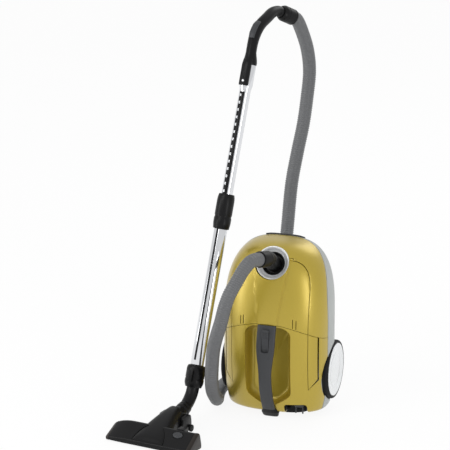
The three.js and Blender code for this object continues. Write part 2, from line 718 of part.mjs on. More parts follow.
function makeHood() {
  let hood = cut(covers, belowWaist(SEAM / 2), lidColumn(SEAM / 2), ringHole);
  for (const side of [-1, 1]) {
    const { knuckleSpace, lug, bore } = hingeAt(side);
    hood = cut(join(cut(hood, knuckleSpace), lug), bore);
  }
  return hood;
}

/** The same solid on the other side of the middle plane. */
function mirrored(shape) {
  return solid(geometryOf(shape).scale(-1, 1, 1));
}

const bayMiddle = REEL_X - 5;
const bayOpening = prismY(roundedRectangle(bayMiddle, BAY_TOP / 2 - 5, BAY_WIDTH, BAY_TOP + 10, 10),
  -FAR, PARTING_Y - 8);

function makeRearCover() {
  let cover = common(covers, belowWaist(-SEAM / 2));
  cover = cut(cover, pedalColumn(1, SEAM / 2), pedalColumn(-1, SEAM / 2));
  const moulding = common(pocket, outside, belowWaist(-SEAM / 2), coverSide(-SEAM / 2));
  cover = cut(join(cover, moulding), hollow, handleSeat);
  for (const side of [-1, 1]) cover = cut(cover, wheelSpace(side, LIP_RADIUS + FIT, WELL_INNER_X));
  return cut(cover, bayOpening);
}

function makePedal(side) {
  const face = common(covers, pedalColumn(side, -SEAM / 2));
  const x = side * (PEDAL_INNER_X + PEDAL_OUTER_X) / 2;
  const post = bar(5, 0, 46, 10, Y_AXIS, new THREE.Vector3(x, -74, 178));
  const lip = wheelSpace(side, LIP_RADIUS + RUN + PEDAL_TRAVEL, WELL_INNER_X - WELL_WALL - RUN);
  return join(cut(face, lip), common(post, outside));
}

piece('bag_lid', makeLid(), 'gold');
piece('hood', makeHood(), 'gold');
piece('rear_cover', makeRearCover(), 'gold');
piece('power_pedal', makePedal(1), 'gold');
piece('rewind_pedal', makePedal(-1), 'gold');
for (const [side, name] of [[-1, 'left'], [1, 'right']]) {
  const pin = new THREE.Vector3(side * LID_PIN_X, LID_HINGE_Y, LID_HINGE_Z);
  const shaft = bar(LID_PIN_RADIUS, -LID_KNUCKLE_HALF, LID_KNUCKLE_HALF + RUN + 6, 8,
    wheelAxis(side), pin);
  piece(`lid_pin_${name}`, shaft, 'steel');
}

const slotCentre = new THREE.Vector3(0, -121, WAIST_HEIGHT - 40);
const gripSlot = (grow, depth) => prismY(
  roundedRectangle(0, slotCentre.z, GRIP_SLOT_WIDTH + 2 * grow, GRIP_SLOT_LENGTH + 2 * grow, 6),
  -FAR, slotCentre.y + depth,
);
const latchTrack = box(-5, slotCentre.y - 2, slotCentre.z - 26, 5, slotCentre.y + 30,
  slotCentre.z + 26);

function makeHandle() {
  const footCut = box(-FAR, -FAR, -FAR, FAR, FAR, 27);
  return cut(handleForm(), gripSlot(0, 0), latchTrack, footCut);
}

function makeLatch() {
  const thumb = common(gripSlot(-1.2, -1), box(-FAR, slotCentre.y - 4, slotCentre.z - 24, FAR, 0,
    slotCentre.z + 30));
  const stem = box(-4, slotCentre.y - 2, slotCentre.z - 14, 4, slotCentre.y + 9, slotCentre.z + 14);
  return join(thumb, stem);
}

piece('carry_handle', makeHandle(), 'darkGrey');
piece('lid_latch', makeLatch(), 'darkGrey');

function makeFoot() {
  const levels = [[0, 19, -72], [3, 21, -76], [14, 24, -84], [26.6, 19, -91]];
  const rings = levels.map(([z, half, front]) => section(half, 1, 18, 3).map(([x, v]) => {
    const back = -60;
    const middle = (front + back) / 2;
    return new THREE.Vector3(x, middle + v * (back - front) / 2, z);
  }));
  return cut(loft(rings), bodyForm(-FIT), plinth(TAIL_BOTTOM));
}

// ---------------------------------------------------------------- base, nose and inlet

const grillePrism = (grow, from, to) => prismY(
  roundedRectangle(0, GRILLE_Z, GRILLE_WIDTH + 2 * grow, GRILLE_HEIGHT + 2 * grow, 9, 2), from, to,
);
const castorPivot = new THREE.Vector3(0, 0, CASTOR_Z);
const CASTOR_SPACE = CASTOR_TRAIL + CASTOR_WHEEL_RADIUS + 4; // radius that it sweeps
const CASTOR_AXLE_Y = FLOOR_SIDE_Y - CASTOR_WHEEL_RADIUS;
const CASTOR_FLOOR_Y = CASTOR_AXLE_Y - CASTOR_WHEEL_RADIUS - 4; // floor of its recess

function makeWell(side) {
  const ring = pipe(LIP_RADIUS, WELL_RADIUS, WELL_INNER_X - WELL_WALL, WELL_LIP_X, WHEEL_SIDES,
    wheelAxis(side), wheelCentre);
  const wall = bar(LIP_RADIUS, WELL_INNER_X - WELL_WALL, WELL_INNER_X, WHEEL_SIDES, wheelAxis(side),
    wheelCentre);
  const boss = bar(AXLE_RADIUS + 8, WELL_INNER_X - 16, WELL_INNER_X, BORE_SIDES, wheelAxis(side),
    wheelCentre);
  const limit = loft([TAIL_BOTTOM + TAIL_EDGE, WHEEL_Z, NOSE_START]
    .map((z) => bodyRing(z, -WELL_FLARE, 16)));
  return join(common(join(ring, wall), limit), boss);
}

function makeBase() {
  const open = coverSide(SEAM / 2);
  let base = cut(skin, open);
  base = join(base, plinth(TAIL_BOTTOM - FIT), cut(plinth(TAIL_BOTTOM + 1), open));
  const level = box(-FAR, -FAR, BULKHEAD_Z - BULKHEAD_WALL, FAR, FAR, BULKHEAD_Z);
  const plan = join(cut(bodyForm(1), open), bodyForm(SHELL_WALL + FIT));
  let wall = cut(common(level, plan), handHollow(SHELL_WALL + FIT));
  for (const side of [-1, 1]) {
    const x = side * (PEDAL_OUTER_X + PEDAL_INNER_X) / 2;
    const reach = (PEDAL_OUTER_X - PEDAL_INNER_X) / 2 + 3;
    wall = cut(wall, box(x - reach, -FAR, 0, x + reach, PARTING_Y - 6, FAR));
  }
  wall = cut(wall, bar(FAN_RADIUS * 0.7, 0, FAR, 16, Z_AXIS, new THREE.Vector3(MOTOR_X, MOTOR_Y, 0)));
  base = join(base, wall, makeWell(-1), makeWell(1));
  for (const side of [-1, 1]) {
    base = cut(base, wheelSpace(side, WELL_RADIUS, WELL_INNER_X));
    base = cut(base, bar(AXLE_RADIUS + FIT, 0, FAR, BORE_SIDES, wheelAxis(side), wheelCentre));
  }
  const cup = bar(CASTOR_SPACE + 2.5, CASTOR_FLOOR_Y - 2.5, FAR, 16, Y_AXIS, castorPivot);
  base = join(base, common(cup, outside));
  base = cut(base, bar(CASTOR_SPACE, CASTOR_FLOOR_Y, FAR, 16, Y_AXIS, castorPivot));
  const boss = bar(CASTOR_PIVOT_RADIUS + 5, CASTOR_FLOOR_Y - 22, CASTOR_FLOOR_Y, BORE_SIDES,
    Y_AXIS, castorPivot);
  base = cut(join(base, boss),
    bar(seat(CASTOR_PIVOT_RADIUS, BORE_SIDES), CASTOR_FLOOR_Y - 19, FAR, BORE_SIDES, Y_AXIS,
      castorPivot));
  return cut(base, grillePrism(FIT, NOSE_TIP_Y, FAR), bayOpening, ringHole);
}

function makeGrille() {
  let grille = common(skin, grillePrism(0, NOSE_TIP_Y, FAR));
  const pitch = (GRILLE_HEIGHT - 14) / GRILLE_SLATS;
  for (let i = 0; i < GRILLE_SLATS; i += 1) {
    const z = GRILLE_Z + (i - (GRILLE_SLATS - 1) / 2) * pitch;
    const slot = roundedRectangle(0, z, GRILLE_WIDTH - 16, pitch * 0.5, 0, 1);
    grille = cut(grille, prismY(slot, NOSE_TIP_Y, FAR));
  }
  return grille;
}

piece('base_chassis', makeBase(), 'baseGrey');
piece('exhaust_grille', makeGrille(), 'darkGrey');
piece('parking_foot', makeFoot(), 'black');

const filterBack = BODY_BACK - SHELL_WALL - 4;
piece('exhaust_filter', box(-GRILLE_WIDTH / 2, filterBack - 12, GRILLE_Z - GRILLE_HEIGHT / 2,
  GRILLE_WIDTH / 2, filterBack, GRILLE_Z + GRILLE_HEIGHT / 2), 'foam');

const bumperBlock = box(-52, NOSE_TIP_Y + 4, BODY_HEIGHT - 90, 52, FAR, BODY_HEIGHT + 20);
piece('nose_bumper', cut(common(cut(bodyForm(-4), bodyForm(-FIT)), bumperBlock),
  bar(CASTOR_SPACE + RUN, 0, FAR, 16, Y_AXIS, castorPivot)), 'darkGrey');

// The inlet ring is a dished flange; its sleeve runs into the body.
const ringProfile = [[SOCKET_RADIUS + 2, -SOCKET_DEPTH], [SOCKET_RADIUS + 4.5, -SOCKET_DEPTH],
  [SOCKET_RADIUS + 4.5, -12], [INLET_RADIUS, -8], [INLET_RADIUS, INLET_RIM - 1.5],
  [INLET_RADIUS - 1.5, INLET_RIM], [INLET_RADIUS - 4, INLET_RIM - 0.5],
  [SOCKET_RADIUS + 5, -2], [SOCKET_RADIUS + 2, -3.5], [SOCKET_RADIUS + 2, -SOCKET_DEPTH]];
piece('inlet_ring', revolve(ringProfile, INLET_SIDES, inletAim, inletCentre), 'silver');

// ---------------------------------------------------------------- wheels and castor

function makeTyre(side) {
  const inner = WHEEL_RADIUS - TYRE_DEPTH;
  const back = WHEEL_OUTER_X - TYRE_WIDTH;
  const profile = [[inner, back], [WHEEL_RADIUS - 4, back], [WHEEL_RADIUS, back + 5],
    [WHEEL_RADIUS, WHEEL_OUTER_X - 6], [WHEEL_RADIUS - 4, WHEEL_OUTER_X - 0.5],
    [WHEEL_RADIUS - 7, WHEEL_OUTER_X - 1],
    [WHEEL_RADIUS - 7.5, WHEEL_OUTER_X - 4], [inner, WHEEL_OUTER_X - 4], [inner, back]];
  return revolve(profile, WHEEL_SIDES, wheelAxis(side), wheelCentre);
}

function makeHub(side) {
  const rim = WHEEL_RADIUS - TYRE_DEPTH - FIT;
  const back = WHEEL_OUTER_X - TYRE_WIDTH;
  const front = WHEEL_OUTER_X - 6;
  const hubOuter = AXLE_RADIUS + 6;
  const profile = [[AXLE_RADIUS + FIT, back], [hubOuter, back], [hubOuter, back + 12],
    [rim - 3, back + 12], [rim - 3, back], [rim, back], [rim, front], [hubOuter, front - 7],
    [AXLE_RADIUS + FIT, front - 7], [AXLE_RADIUS + FIT, back]];
  return revolve(profile, WHEEL_SIDES, wheelAxis(side), wheelCentre);
}

function makeDisc(side) {
  const rim = WHEEL_RADIUS - 7.5 - FIT;
  const seat = WHEEL_RADIUS - TYRE_DEPTH - 6;
  const face = WHEEL_OUTER_X - 3.7 + FIT;
  const profile = [[0, face - 4], [seat - 4, face - 0.2], [rim, face], [rim, WHEEL_OUTER_X - 1.5],
    [rim - 2, WHEEL_OUTER_X], [rim - 5, WHEEL_OUTER_X - 0.2], [seat - 10, WHEEL_OUTER_X - 1.4],
    [0, WHEEL_OUTER_X - 2.4]];
  return revolve(profile, WHEEL_SIDES, wheelAxis(side), wheelCentre);
}

for (const [side, name] of [[-1, 'left'], [1, 'right']]) {
  const axleEnd = WHEEL_OUTER_X - 11;
  const axle = join(bar(AXLE_RADIUS, WELL_INNER_X - 14, axleEnd, BORE_SIDES, wheelAxis(side),
    wheelCentre), bar(AXLE_RADIUS + 2.5, axleEnd - FIT, axleEnd + 1.5, BORE_SIDES,
    wheelAxis(side), wheelCentre));
  piece(`wheel_axle_${name}`, axle, 'steel');
  piece(`wheel_hub_${name}`, makeHub(side), 'darkGrey');
  piece(`tyre_${name}`, makeTyre(side), 'rubber');
  piece(`wheel_disc_${name}`, makeDisc(side), 'white');
}

const CASTOR_AXLE_RADIUS = 2.5;
const forkGap = CASTOR_WHEEL_WIDTH / 2 + RUN;
function makeFork() {
  const stem = bar(CASTOR_PIVOT_RADIUS, CASTOR_FLOOR_Y - 16, CASTOR_FLOOR_Y + 2, BORE_SIDES,
    Y_AXIS, castorPivot);
  const crown = bar(CASTOR_PIVOT_RADIUS + 7, CASTOR_FLOOR_Y + FIT, CASTOR_FLOOR_Y + 3, BORE_SIDES,
    Y_AXIS, castorPivot);
  let fork = join(stem, crown);
  for (const side of [-1, 1]) {
    const arm = prismX(roundedOutline([[CASTOR_FLOOR_Y + FIT, CASTOR_Z + 8, 3],
      [CASTOR_FLOOR_Y + FIT, CASTOR_Z - 14, 3], [CASTOR_AXLE_Y + 7, CASTOR_Z - CASTOR_TRAIL - 6, 4],
      [CASTOR_AXLE_Y + 7, CASTOR_Z - CASTOR_TRAIL + 5, 4]], 1), 0, 3);
    const from = side > 0 ? forkGap : -forkGap - 3;
    fork = join(fork, solid(geometryOf(arm).translate(from, 0, 0)));
  }
  return join(fork, bar(CASTOR_AXLE_RADIUS, -forkGap - 1, forkGap + 1, 12, X_AXIS, castorAxle));
}
const castorAxle = new THREE.Vector3(0, CASTOR_AXLE_Y, CASTOR_Z - CASTOR_TRAIL);
piece('castor_fork', makeFork(), 'black');
const tread = CASTOR_WHEEL_WIDTH / 2;
piece('castor_wheel', revolve([[CASTOR_AXLE_RADIUS + FIT, -tread], [CASTOR_WHEEL_RADIUS - 2, -tread],
  [CASTOR_WHEEL_RADIUS, 2 - tread], [CASTOR_WHEEL_RADIUS, tread - 2],
  [CASTOR_WHEEL_RADIUS - 2, tread], [CASTOR_AXLE_RADIUS + FIT, tread],
  [CASTOR_AXLE_RADIUS + FIT, -tread]], 16, X_AXIS, castorAxle), 'darkGrey');

// ---------------------------------------------------------------- inside the machine

const motorTop = BULKHEAD_Z - BULKHEAD_WALL - MOTOR_GAP;
const motorFoot = motorTop - MOTOR_LENGTH;
const motorBase = new THREE.Vector3(MOTOR_X, MOTOR_Y, 0);
const bearing = SHAFT_RADIUS + FIT;

// A drum open at the top, towards the dust bag, with a bearing seat at the foot.
const casingProfile = [[bearing, motorFoot], [MOTOR_RADIUS - 12, motorFoot],
  [MOTOR_RADIUS - 6, motorFoot + 6], [MOTOR_RADIUS - 6, motorTop - 34],
  [MOTOR_RADIUS, motorTop - 30], [MOTOR_RADIUS, motorTop],
  [MOTOR_RADIUS - 14, motorTop], [MOTOR_RADIUS - 14, motorTop - MOTOR_WALL],
  [MOTOR_RADIUS - MOTOR_WALL, motorTop - MOTOR_WALL], [MOTOR_RADIUS - MOTOR_WALL, motorTop - 28],
  [MOTOR_RADIUS - 6 - MOTOR_WALL, motorTop - 32],
  [MOTOR_RADIUS - 6 - MOTOR_WALL, motorFoot + 6 + MOTOR_WALL],
  [bearing + 6, motorFoot + MOTOR_WALL + 4], [bearing, motorFoot + MOTOR_WALL + 4],
  [bearing, motorFoot]];
piece('motor_case', revolve(casingProfile, 12, Z_AXIS, motorBase), 'darkGrey');
const fanTop = motorTop - MOTOR_WALL - 4;
const armature = FAN_RADIUS * 0.6;
piece('motor_rotor', revolve([[0, motorFoot + 1], [SHAFT_RADIUS, motorFoot + 1],
  [SHAFT_RADIUS, motorFoot + 18], [armature - 8, motorFoot + 18], [armature - 8, motorFoot + 28],
  [armature, motorFoot + 28], [armature, motorTop - 40], [SHAFT_RADIUS, motorTop - 40],
  [SHAFT_RADIUS, fanTop - 16], [FAN_RADIUS, fanTop - 16], [FAN_RADIUS, fanTop - 6],
  [FAN_RADIUS * 0.55, fanTop], [SHAFT_RADIUS, fanTop], [0, fanTop + 1]], 12, Z_AXIS, motorBase),
'copper');
piece('motor_filter', bar(FAN_RADIUS * 0.7 + 8, BULKHEAD_Z + FIT, BULKHEAD_Z + 8, 14, Z_AXIS,
  motorBase), 'foam');

const reelCentre = new THREE.Vector3(REEL_X, REEL_Y, REEL_Z);
const reelHalf = REEL_WIDTH / 2;
const WINDING_RADIUS = REEL_RADIUS - 8;
const reelAxleRadius = 6;
piece('reel_axle', bar(reelAxleRadius, -reelHalf - 3, WELL_INNER_X - WELL_WALL - FIT - REEL_X, 16,
  X_AXIS, reelCentre), 'steel');
const spool = [[reelAxleRadius + FIT, -reelHalf], [REEL_RADIUS, -reelHalf],
  [REEL_RADIUS, REEL_FLANGE - reelHalf], [REEL_CORE, REEL_FLANGE - reelHalf],
  [REEL_CORE, reelHalf - REEL_FLANGE], [REEL_RADIUS, reelHalf - REEL_FLANGE],
  [REEL_RADIUS, reelHalf], [reelAxleRadius + FIT, reelHalf], [reelAxleRadius + FIT, -reelHalf]];
piece('cord_reel', revolve(spool, 16, X_AXIS, reelCentre), 'darkGrey');
const woundHalf = reelHalf - REEL_FLANGE - FIT;
piece('wound_cord', pipe(WINDING_RADIUS, REEL_CORE + FIT, -woundHalf, woundHalf, 16, X_AXIS,
  reelCentre), 'cordBlack');

// The last stretch of cord hangs from the winding to the plug.
const leadAt = new THREE.Vector3(REEL_X, REEL_Y - WINDING_RADIUS - CORD_RADIUS - RUN, 0);
const plugTop = PLUG_PIN_TIP + PLUG_PIN_LENGTH + PLUG_LENGTH;
piece('cord_lead', bar(CORD_RADIUS, plugTop + FIT, REEL_Z + 6, 8, Z_AXIS, leadAt), 'cordBlack');
const pinTop = PLUG_PIN_TIP + PLUG_PIN_LENGTH;
const plugRings = [[0, -1, -3], [3, 2, -1], [16, 3, -1], [24, -2, -4], [PLUG_LENGTH, -5, -6]]
  .map(([h, u, v]) => section(PLUG_RADIUS + u, PLUG_RADIUS - 1.5 + v, 12, 2.6)
    .map(([x, y]) => new THREE.Vector3(leadAt.x + x, leadAt.y + y, pinTop + h)));
let plug = loft(plugRings);
for (const step of [-0.5, 0.5]) {
  const at = leadAt.clone().add(new THREE.Vector3(step * PLUG_PIN_SPACING, 0, 0));
  plug = join(plug, bar(PLUG_PIN_RADIUS, PLUG_PIN_TIP, pinTop + 2, 8, Z_AXIS, at));
}
piece('mains_plug', plug, 'darkGrey');

function makeBay() {
  const half = BAY_WIDTH / 2 - 4;
  const back = leadAt.y + PLUG_RADIUS + RUN;
  const floor = TAIL_BOTTOM + SHELL_WALL + FIT;
  const outer = box(bayMiddle - half - 2.5, -FAR, floor, bayMiddle + half + 2.5, back + 2.5,
    BAY_LINER_TOP);
  const room = box(bayMiddle - half, -FAR, 0, bayMiddle + half, back, FAR);
  const bay = common(cut(outer, room), bodyForm(SHELL_WALL + FIT));
  return cut(bay, handHollow(SHELL_WALL + FIT),
    bar(REEL_RADIUS + RUN, -reelHalf - RUN, reelHalf + RUN, 16, X_AXIS, reelCentre));
}
piece('cord_bay', makeBay(), 'black');

// Dust bag with its card collar in the holder behind the inlet.
const holderFront = SOCKET_DEPTH + FIT;
const inletFrame = (points, depth) => points.map(([u, v]) => inletCentre.clone()
  .addScaledVector(inletAim, -depth).addScaledVector(X_AXIS, u)
  .addScaledVector(inletAim.clone().cross(X_AXIS), v));
function makeHolder() {
  const plate = loft([0, 4].map((depth) => inletFrame(
    section(HOLDER_HALF, 40, 14, 3), holderFront + depth)));
  return cut(plate, bar(ELBOW_RADIUS + 2, -holderFront - 10, 0, 12, inletAim, inletCentre));
}
piece('bag_holder', makeHolder(), 'black');

const bagLow = BULKHEAD_Z + 12;
const bagTop = INLET_Z - 40;
function makeBag() {
  const layers = [[bagLow, 62, 40, 12], [bagLow + 16, 86, 55, 12], [bagLow + 66, 93, 61, 11],
    [bagTop - 60, 90, 54, 7], [bagTop - 14, 68, 38, 8], [bagTop, 42, 26, 12]];
  return loft(layers.map(([z, u, v, y]) => section(u, v, 16, 2.8)
    .map(([x, d]) => new THREE.Vector3(x, y + d, z))));
}
piece('dust_bag', makeBag(), 'paper');

// ---------------------------------------------------------------- telescopic tube

const tubeAt = (distance) => COLLAR_CENTRE.clone().addScaledVector(TUBE_AXIS, distance);
// Across the tube: front looks away from the machine, side points to its right.
const tubeSide = new THREE.Vector3(0.982, -0.187, 0).normalize();
const tubeFront = tubeSide.clone().cross(TUBE_AXIS).normalize();

/** Turned part on the tube's axis. */
const onTube = (profile, sides) => revolve(profile, sides, TUBE_AXIS, COLLAR_CENTRE);

/** Block beside the tube: u along the front, v along the side, d along the tube. */
function tubeBlock(u0, u1, v0, v1, d0, d1) {
  const g = new THREE.BoxGeometry(u1 - u0, v1 - v0, d1 - d0);
  g.translate((u0 + u1) / 2, (v0 + v1) / 2, (d0 + d1) / 2);
  const basis = new THREE.Matrix4().makeBasis(tubeFront, tubeSide, TUBE_AXIS);
  return solid(g.applyMatrix4(basis.setPosition(COLLAR_CENTRE)));
}

const TUBE_SIDES = 16;
const facet = Math.cos(Math.PI / TUBE_SIDES);
const bore = INNER_TUBE_RADIUS - TUBE_WALL;
const railDepth = 3;
const railHalf = 3;
const railReach = (OUTER_TUBE_RADIUS - TUBE_WALL) * facet - FIT; // to its outer corners
const railOuter = Math.sqrt(railReach ** 2 - railHalf ** 2);
const railEnd = SOCKET_START - 6;

function makeInnerTube() {
  const inner = SOCKET_TUBE_RADIUS - TUBE_WALL;
  const tube = onTube([[bore, INNER_TUBE_START], [INNER_TUBE_RADIUS, INNER_TUBE_START],
    [INNER_TUBE_RADIUS, SOCKET_START], [SOCKET_TUBE_RADIUS, SOCKET_START + 10],
    [SOCKET_TUBE_RADIUS, SOCKET_END], [inner, SOCKET_END], [inner, SOCKET_START + 11],
    [bore, SOCKET_START + 1], [bore, INNER_TUBE_START]], TUBE_SIDES);
  const slot = tubeBlock(railOuter - railDepth - FIT, 30, -railHalf - FIT, railHalf + FIT,
    INNER_TUBE_START + 6, railEnd + FIT);
  const hole = bar(LOCK_BUTTON_RADIUS + FIT, 0, 40, 12, tubeFront, tubeAt(LOCK_BUTTON_AT));
  return cut(tube, slot, hole);
}

function makeRail() {
  let rail = tubeBlock(railOuter - railDepth, railOuter, -railHalf, railHalf,
    INNER_TUBE_START + 6 + FIT, railEnd);
  for (let i = 0; i < RAIL_NOTCHES; i += 1) {
    const at = RAIL_START + i * RAIL_PITCH;
    rail = cut(rail, tubeBlock(railOuter - 1.6, 30, -railHalf + 1.2, 30, at, at + RAIL_PITCH / 2));
  }
  return rail;
}



const tongueInner = seat(SOCKET_TUBE_RADIUS, 14);
const spigotRadius = (SOCKET_TUBE_RADIUS - TUBE_WALL) * facet - FIT;
const tongueOuter = tongueInner + 4;

piece('inner_tube', makeInnerTube(), 'chrome');
piece('detent_rail', makeRail(), 'black');
const outerBore = OUTER_TUBE_RADIUS - TUBE_WALL;
piece('outer_tube', onTube([[outerBore, OUTER_TUBE_START], [OUTER_TUBE_RADIUS, OUTER_TUBE_START],
  [OUTER_TUBE_RADIUS, OUTER_TUBE_END], [outerBore, OUTER_TUBE_END],
  [outerBore, OUTER_TUBE_START]], TUBE_SIDES), 'chrome');
piece('guide_strip', tubeBlock(OUTER_TUBE_RADIUS + 0.1, OUTER_TUBE_RADIUS + 1.2, -2.8, 2.8,
  COLLAR_HALF + 14, SLEEVE_START - RUN), 'black');

const SLEEVE_TRAVEL = 6;
const sleeveEnd = SLEEVE_START + SLEEVE_LENGTH;
const shoulder = OUTER_TUBE_END + SLEEVE_TRAVEL + RUN;
piece('lock_sleeve', onTube([[OUTER_TUBE_RADIUS + 2, SLEEVE_START], [SLEEVE_RADIUS - 3, SLEEVE_START],
  [SLEEVE_RADIUS, SLEEVE_START + 14], [SLEEVE_RADIUS, sleeveEnd - 10],
  [SLEEVE_RADIUS - 3, sleeveEnd], [seat(railReach, 16), sleeveEnd],
  [seat(railReach, 16), shoulder],
  [OUTER_TUBE_RADIUS + FIT, shoulder], [OUTER_TUBE_RADIUS + FIT, SLEEVE_START + 6],
  [OUTER_TUBE_RADIUS + 2, SLEEVE_START + 5], [OUTER_TUBE_RADIUS + 2, SLEEVE_START]], 16), 'black');
piece('sleeve_bush', cut(onTube([[INNER_TUBE_RADIUS + FIT, OUTER_TUBE_END - 24],
  [outerBore - FIT, OUTER_TUBE_END - 24], [outerBore - FIT, OUTER_TUBE_END + 3],
  [INNER_TUBE_RADIUS + FIT, OUTER_TUBE_END + 3], [INNER_TUBE_RADIUS + FIT, OUTER_TUBE_END - 24]],
TUBE_SIDES), tubeBlock(10, 30, -railHalf - 1, railHalf + 1, OUTER_TUBE_END - 40,
  OUTER_TUBE_END + 20)), 'rubber');

// ---------------------------------------------------------------- bent handle

const handlePath = new THREE.CatmullRomCurve3([tubeAt(HANDLE_START), tubeAt(SOCKET_END - 8),
  tubeAt(SOCKET_END + 12), new THREE.Vector3(-130, 164, 922), new THREE.Vector3(-129, 189, 956),
  new THREE.Vector3(-123, 217, 979), new THREE.Vector3(-114, 250, 992),
  new THREE.Vector3(-107.5, 281, 1000),
  CUFF_START.clone().addScaledVector(CUFF_AIM, -10), CUFF_START.clone(),
  CUFF_START.clone().addScaledVector(CUFF_AIM, 10)]);

function makeGrip() {
  const length = handlePath.getLength();
  const spigot = SOCKET_END - HANDLE_START;
  let grip = solid(hollowSweep(handlePath, [
    ...[0, spigot, spigot + 10].map((d) => [d, spigotRadius, HANDLE_BORE]),
    ...spaced(spigot + 30, length, 9).map((d) => [d, HANDLE_TUBE_RADIUS, HANDLE_BORE]),
  ], 12, tubeFront));
  const tongue = common(onTube([[tongueInner, SOCKET_START + 10], [tongueOuter - 1, SOCKET_START + 10],
    [tongueOuter, SOCKET_START + 16], [tongueOuter, SOCKET_END - 4], [tongueOuter - 3, SOCKET_END + 8],
    [spigotRadius - 2, SOCKET_END + 14], [spigotRadius - 2, SOCKET_END + FIT],
    [tongueInner, SOCKET_END + FIT], [tongueInner, SOCKET_START + 10]], 14),
  tubeBlock(2, 60, -13, 13, SOCKET_START, SOCKET_END + 20));
  grip = join(grip, tongue);
  return cut(grip, bar(LOCK_BUTTON_RADIUS + FIT, 0, 40, 12, tubeFront, tubeAt(LOCK_BUTTON_AT)));
}

piece('handle_grip', makeGrip(), 'black');
piece('grip_lock_button', bar(LOCK_BUTTON_RADIUS, SOCKET_TUBE_RADIUS - 4, tongueOuter + 1.5, 12,
  tubeFront, tubeAt(LOCK_BUTTON_AT)), 'silver');

// Saddle over the handle's outer side that opens the bleed slot.
const sliderSpan = [0.36, 0.56];
const outward = tubeFront;
function sliderPiece() {
  const frames = framesAlong(handlePath, 40, outward)
    .filter((f, i) => i % 2 === 0 && i / 40 >= sliderSpan[0] && i / 40 <= sliderSpan[1]);
  const low = HANDLE_TUBE_RADIUS + FIT;
  return loft(frames.map((frame, i) => {
    const end = Math.min(i, frames.length - 1 - i);
    const rise = [2.5, 5, 6.5][Math.min(end, 2)];
    return ringIn(frame, [[low - 1.8, -8], [low + rise - 2, -8], [low + rise, -5],
      [low + rise, 5], [low + rise - 2, 8], [low - 1.8, 8], [low, 4], [low, -4]]);
  }));
}
const handleClear = sweep(handlePath, () => HANDLE_TUBE_RADIUS + RUN, 11, 12, tubeFront);
piece('suction_slider', cut(sliderPiece(), handleClear), 'darkGrey');

const hoseSeat = seat(HOSE_RADIUS, 18);
const cuffSeat = seat(HANDLE_TUBE_RADIUS, 18) + 0.5;
piece('hose_cuff', revolve([[cuffSeat, 0], [HANDLE_TUBE_RADIUS + 3, 0],
  [CUFF_RADIUS, 9], [CUFF_RADIUS, CUFF_LENGTH - 4], [CUFF_RADIUS - 1.5, CUFF_LENGTH],
  [hoseSeat, CUFF_LENGTH], [hoseSeat, CUFF_LENGTH - HOSE_INSERT - 1],
  [cuffSeat, CUFF_LENGTH - HOSE_INSERT - 1], [cuffSeat, 0]],
18, CUFF_AIM, CUFF_START), 'black');

// ---------------------------------------------------------------- elbow and hose

// The elbow's collar stands in the inlet ring; its outer end is a spigot for the hose collar.
const ELBOW_SPIGOT = 16.6;
const SPIGOT_LENGTH = 12;
const elbowTip = HOSE_START.clone().addScaledVector(HOSE_START_AIM, HOSE_INSERT);
const elbowPath = new THREE.CatmullRomCurve3([
  ...[-SOCKET_DEPTH, -10, 12].map((d) => inletCentre.clone().addScaledVector(inletAim, d)),
  ...[-16, -8, 0, 10].map((d) => HOSE_START.clone().addScaledVector(HOSE_START_AIM, d)), elbowTip]);

function makeElbow() {
  const end = elbowPath.getLength() - HOSE_INSERT - RUN;
  const shoulder = end - SPIGOT_LENGTH;
  const tube = solid(hollowSweep(elbowPath, [
    ...spaced(0, shoulder, 5).map((d) => [d, ELBOW_RADIUS, HOSE_BORE]),
    [shoulder, ELBOW_SPIGOT, 0], [end, ELBOW_SPIGOT, HOSE_BORE]], 12, X_AXIS));
  const hidden = ELBOW_RADIUS - 3; // inside the tube's wall
  const outer = (SOCKET_RADIUS + 2) * Math.cos(Math.PI / INLET_SIDES) - FIT;
  const rim = revolve([[hidden, 1 - SOCKET_DEPTH], [outer, 1 - SOCKET_DEPTH], [outer, -4],
    [SOCKET_RADIUS - 1, -2.5], [SOCKET_RADIUS - 3, -8], [ELBOW_RADIUS + 3, -14], [hidden, -14],
    [hidden, 1 - SOCKET_DEPTH]], 16, inletAim, inletCentre);
  return join(tube, rim);
}
piece('hose_elbow', makeElbow(), 'black');

// Collar that turns on the elbow's spigot and holds the hose.
const spigotSeat = seat(ELBOW_SPIGOT, 12);
const hoseSleeve = seat(HOSE_RADIUS, 12);
const collarLip = ELBOW_RADIUS + 1.5;
piece('hose_collar', revolve([[spigotSeat, FIT - RUN - SPIGOT_LENGTH],
  [ELBOW_RADIUS, FIT - RUN - SPIGOT_LENGTH], [collarLip, 2 - SPIGOT_LENGTH],
  [collarLip, HOSE_INSERT - 3], [ELBOW_RADIUS, HOSE_INSERT], [hoseSleeve, HOSE_INSERT],
  [hoseSleeve, -RUN / 2], [spigotSeat, -RUN / 2], [spigotSeat, FIT - RUN - SPIGOT_LENGTH]],
12, HOSE_START_AIM, HOSE_START), 'black');

const hoseEnd = CUFF_START.clone().addScaledVector(CUFF_AIM, CUFF_LENGTH - HOSE_INSERT);
const hosePath = new THREE.CatmullRomCurve3([
  ...[0, 14, 28, 42].map((d) => HOSE_START.clone().addScaledVector(HOSE_START_AIM, d)),
  ...HOSE_ROUTE,
  ...[42, 28, 14, 0].map((d) => hoseEnd.clone().addScaledVector(CUFF_AIM, d))]);
hosePath.arcLengthDivisions = 800;

/** Ribbed hose: crest and valley rings outside, one ring a rib round its bore. */
function makeHose() {
  const rings = spaced(0, hosePath.getLength(), 2 * HOSE_RIBS).map((distance, i) => [
    distance, i % 2 ? HOSE_RADIUS : HOSE_VALLEY, i % 2 ? 0 : HOSE_BORE]);
  return hollowSweep(hosePath, rings, 8, X_AXIS);
}
piece('hose', makeHose(), 'hoseGrey');

// ---------------------------------------------------------------- lower collar and neck

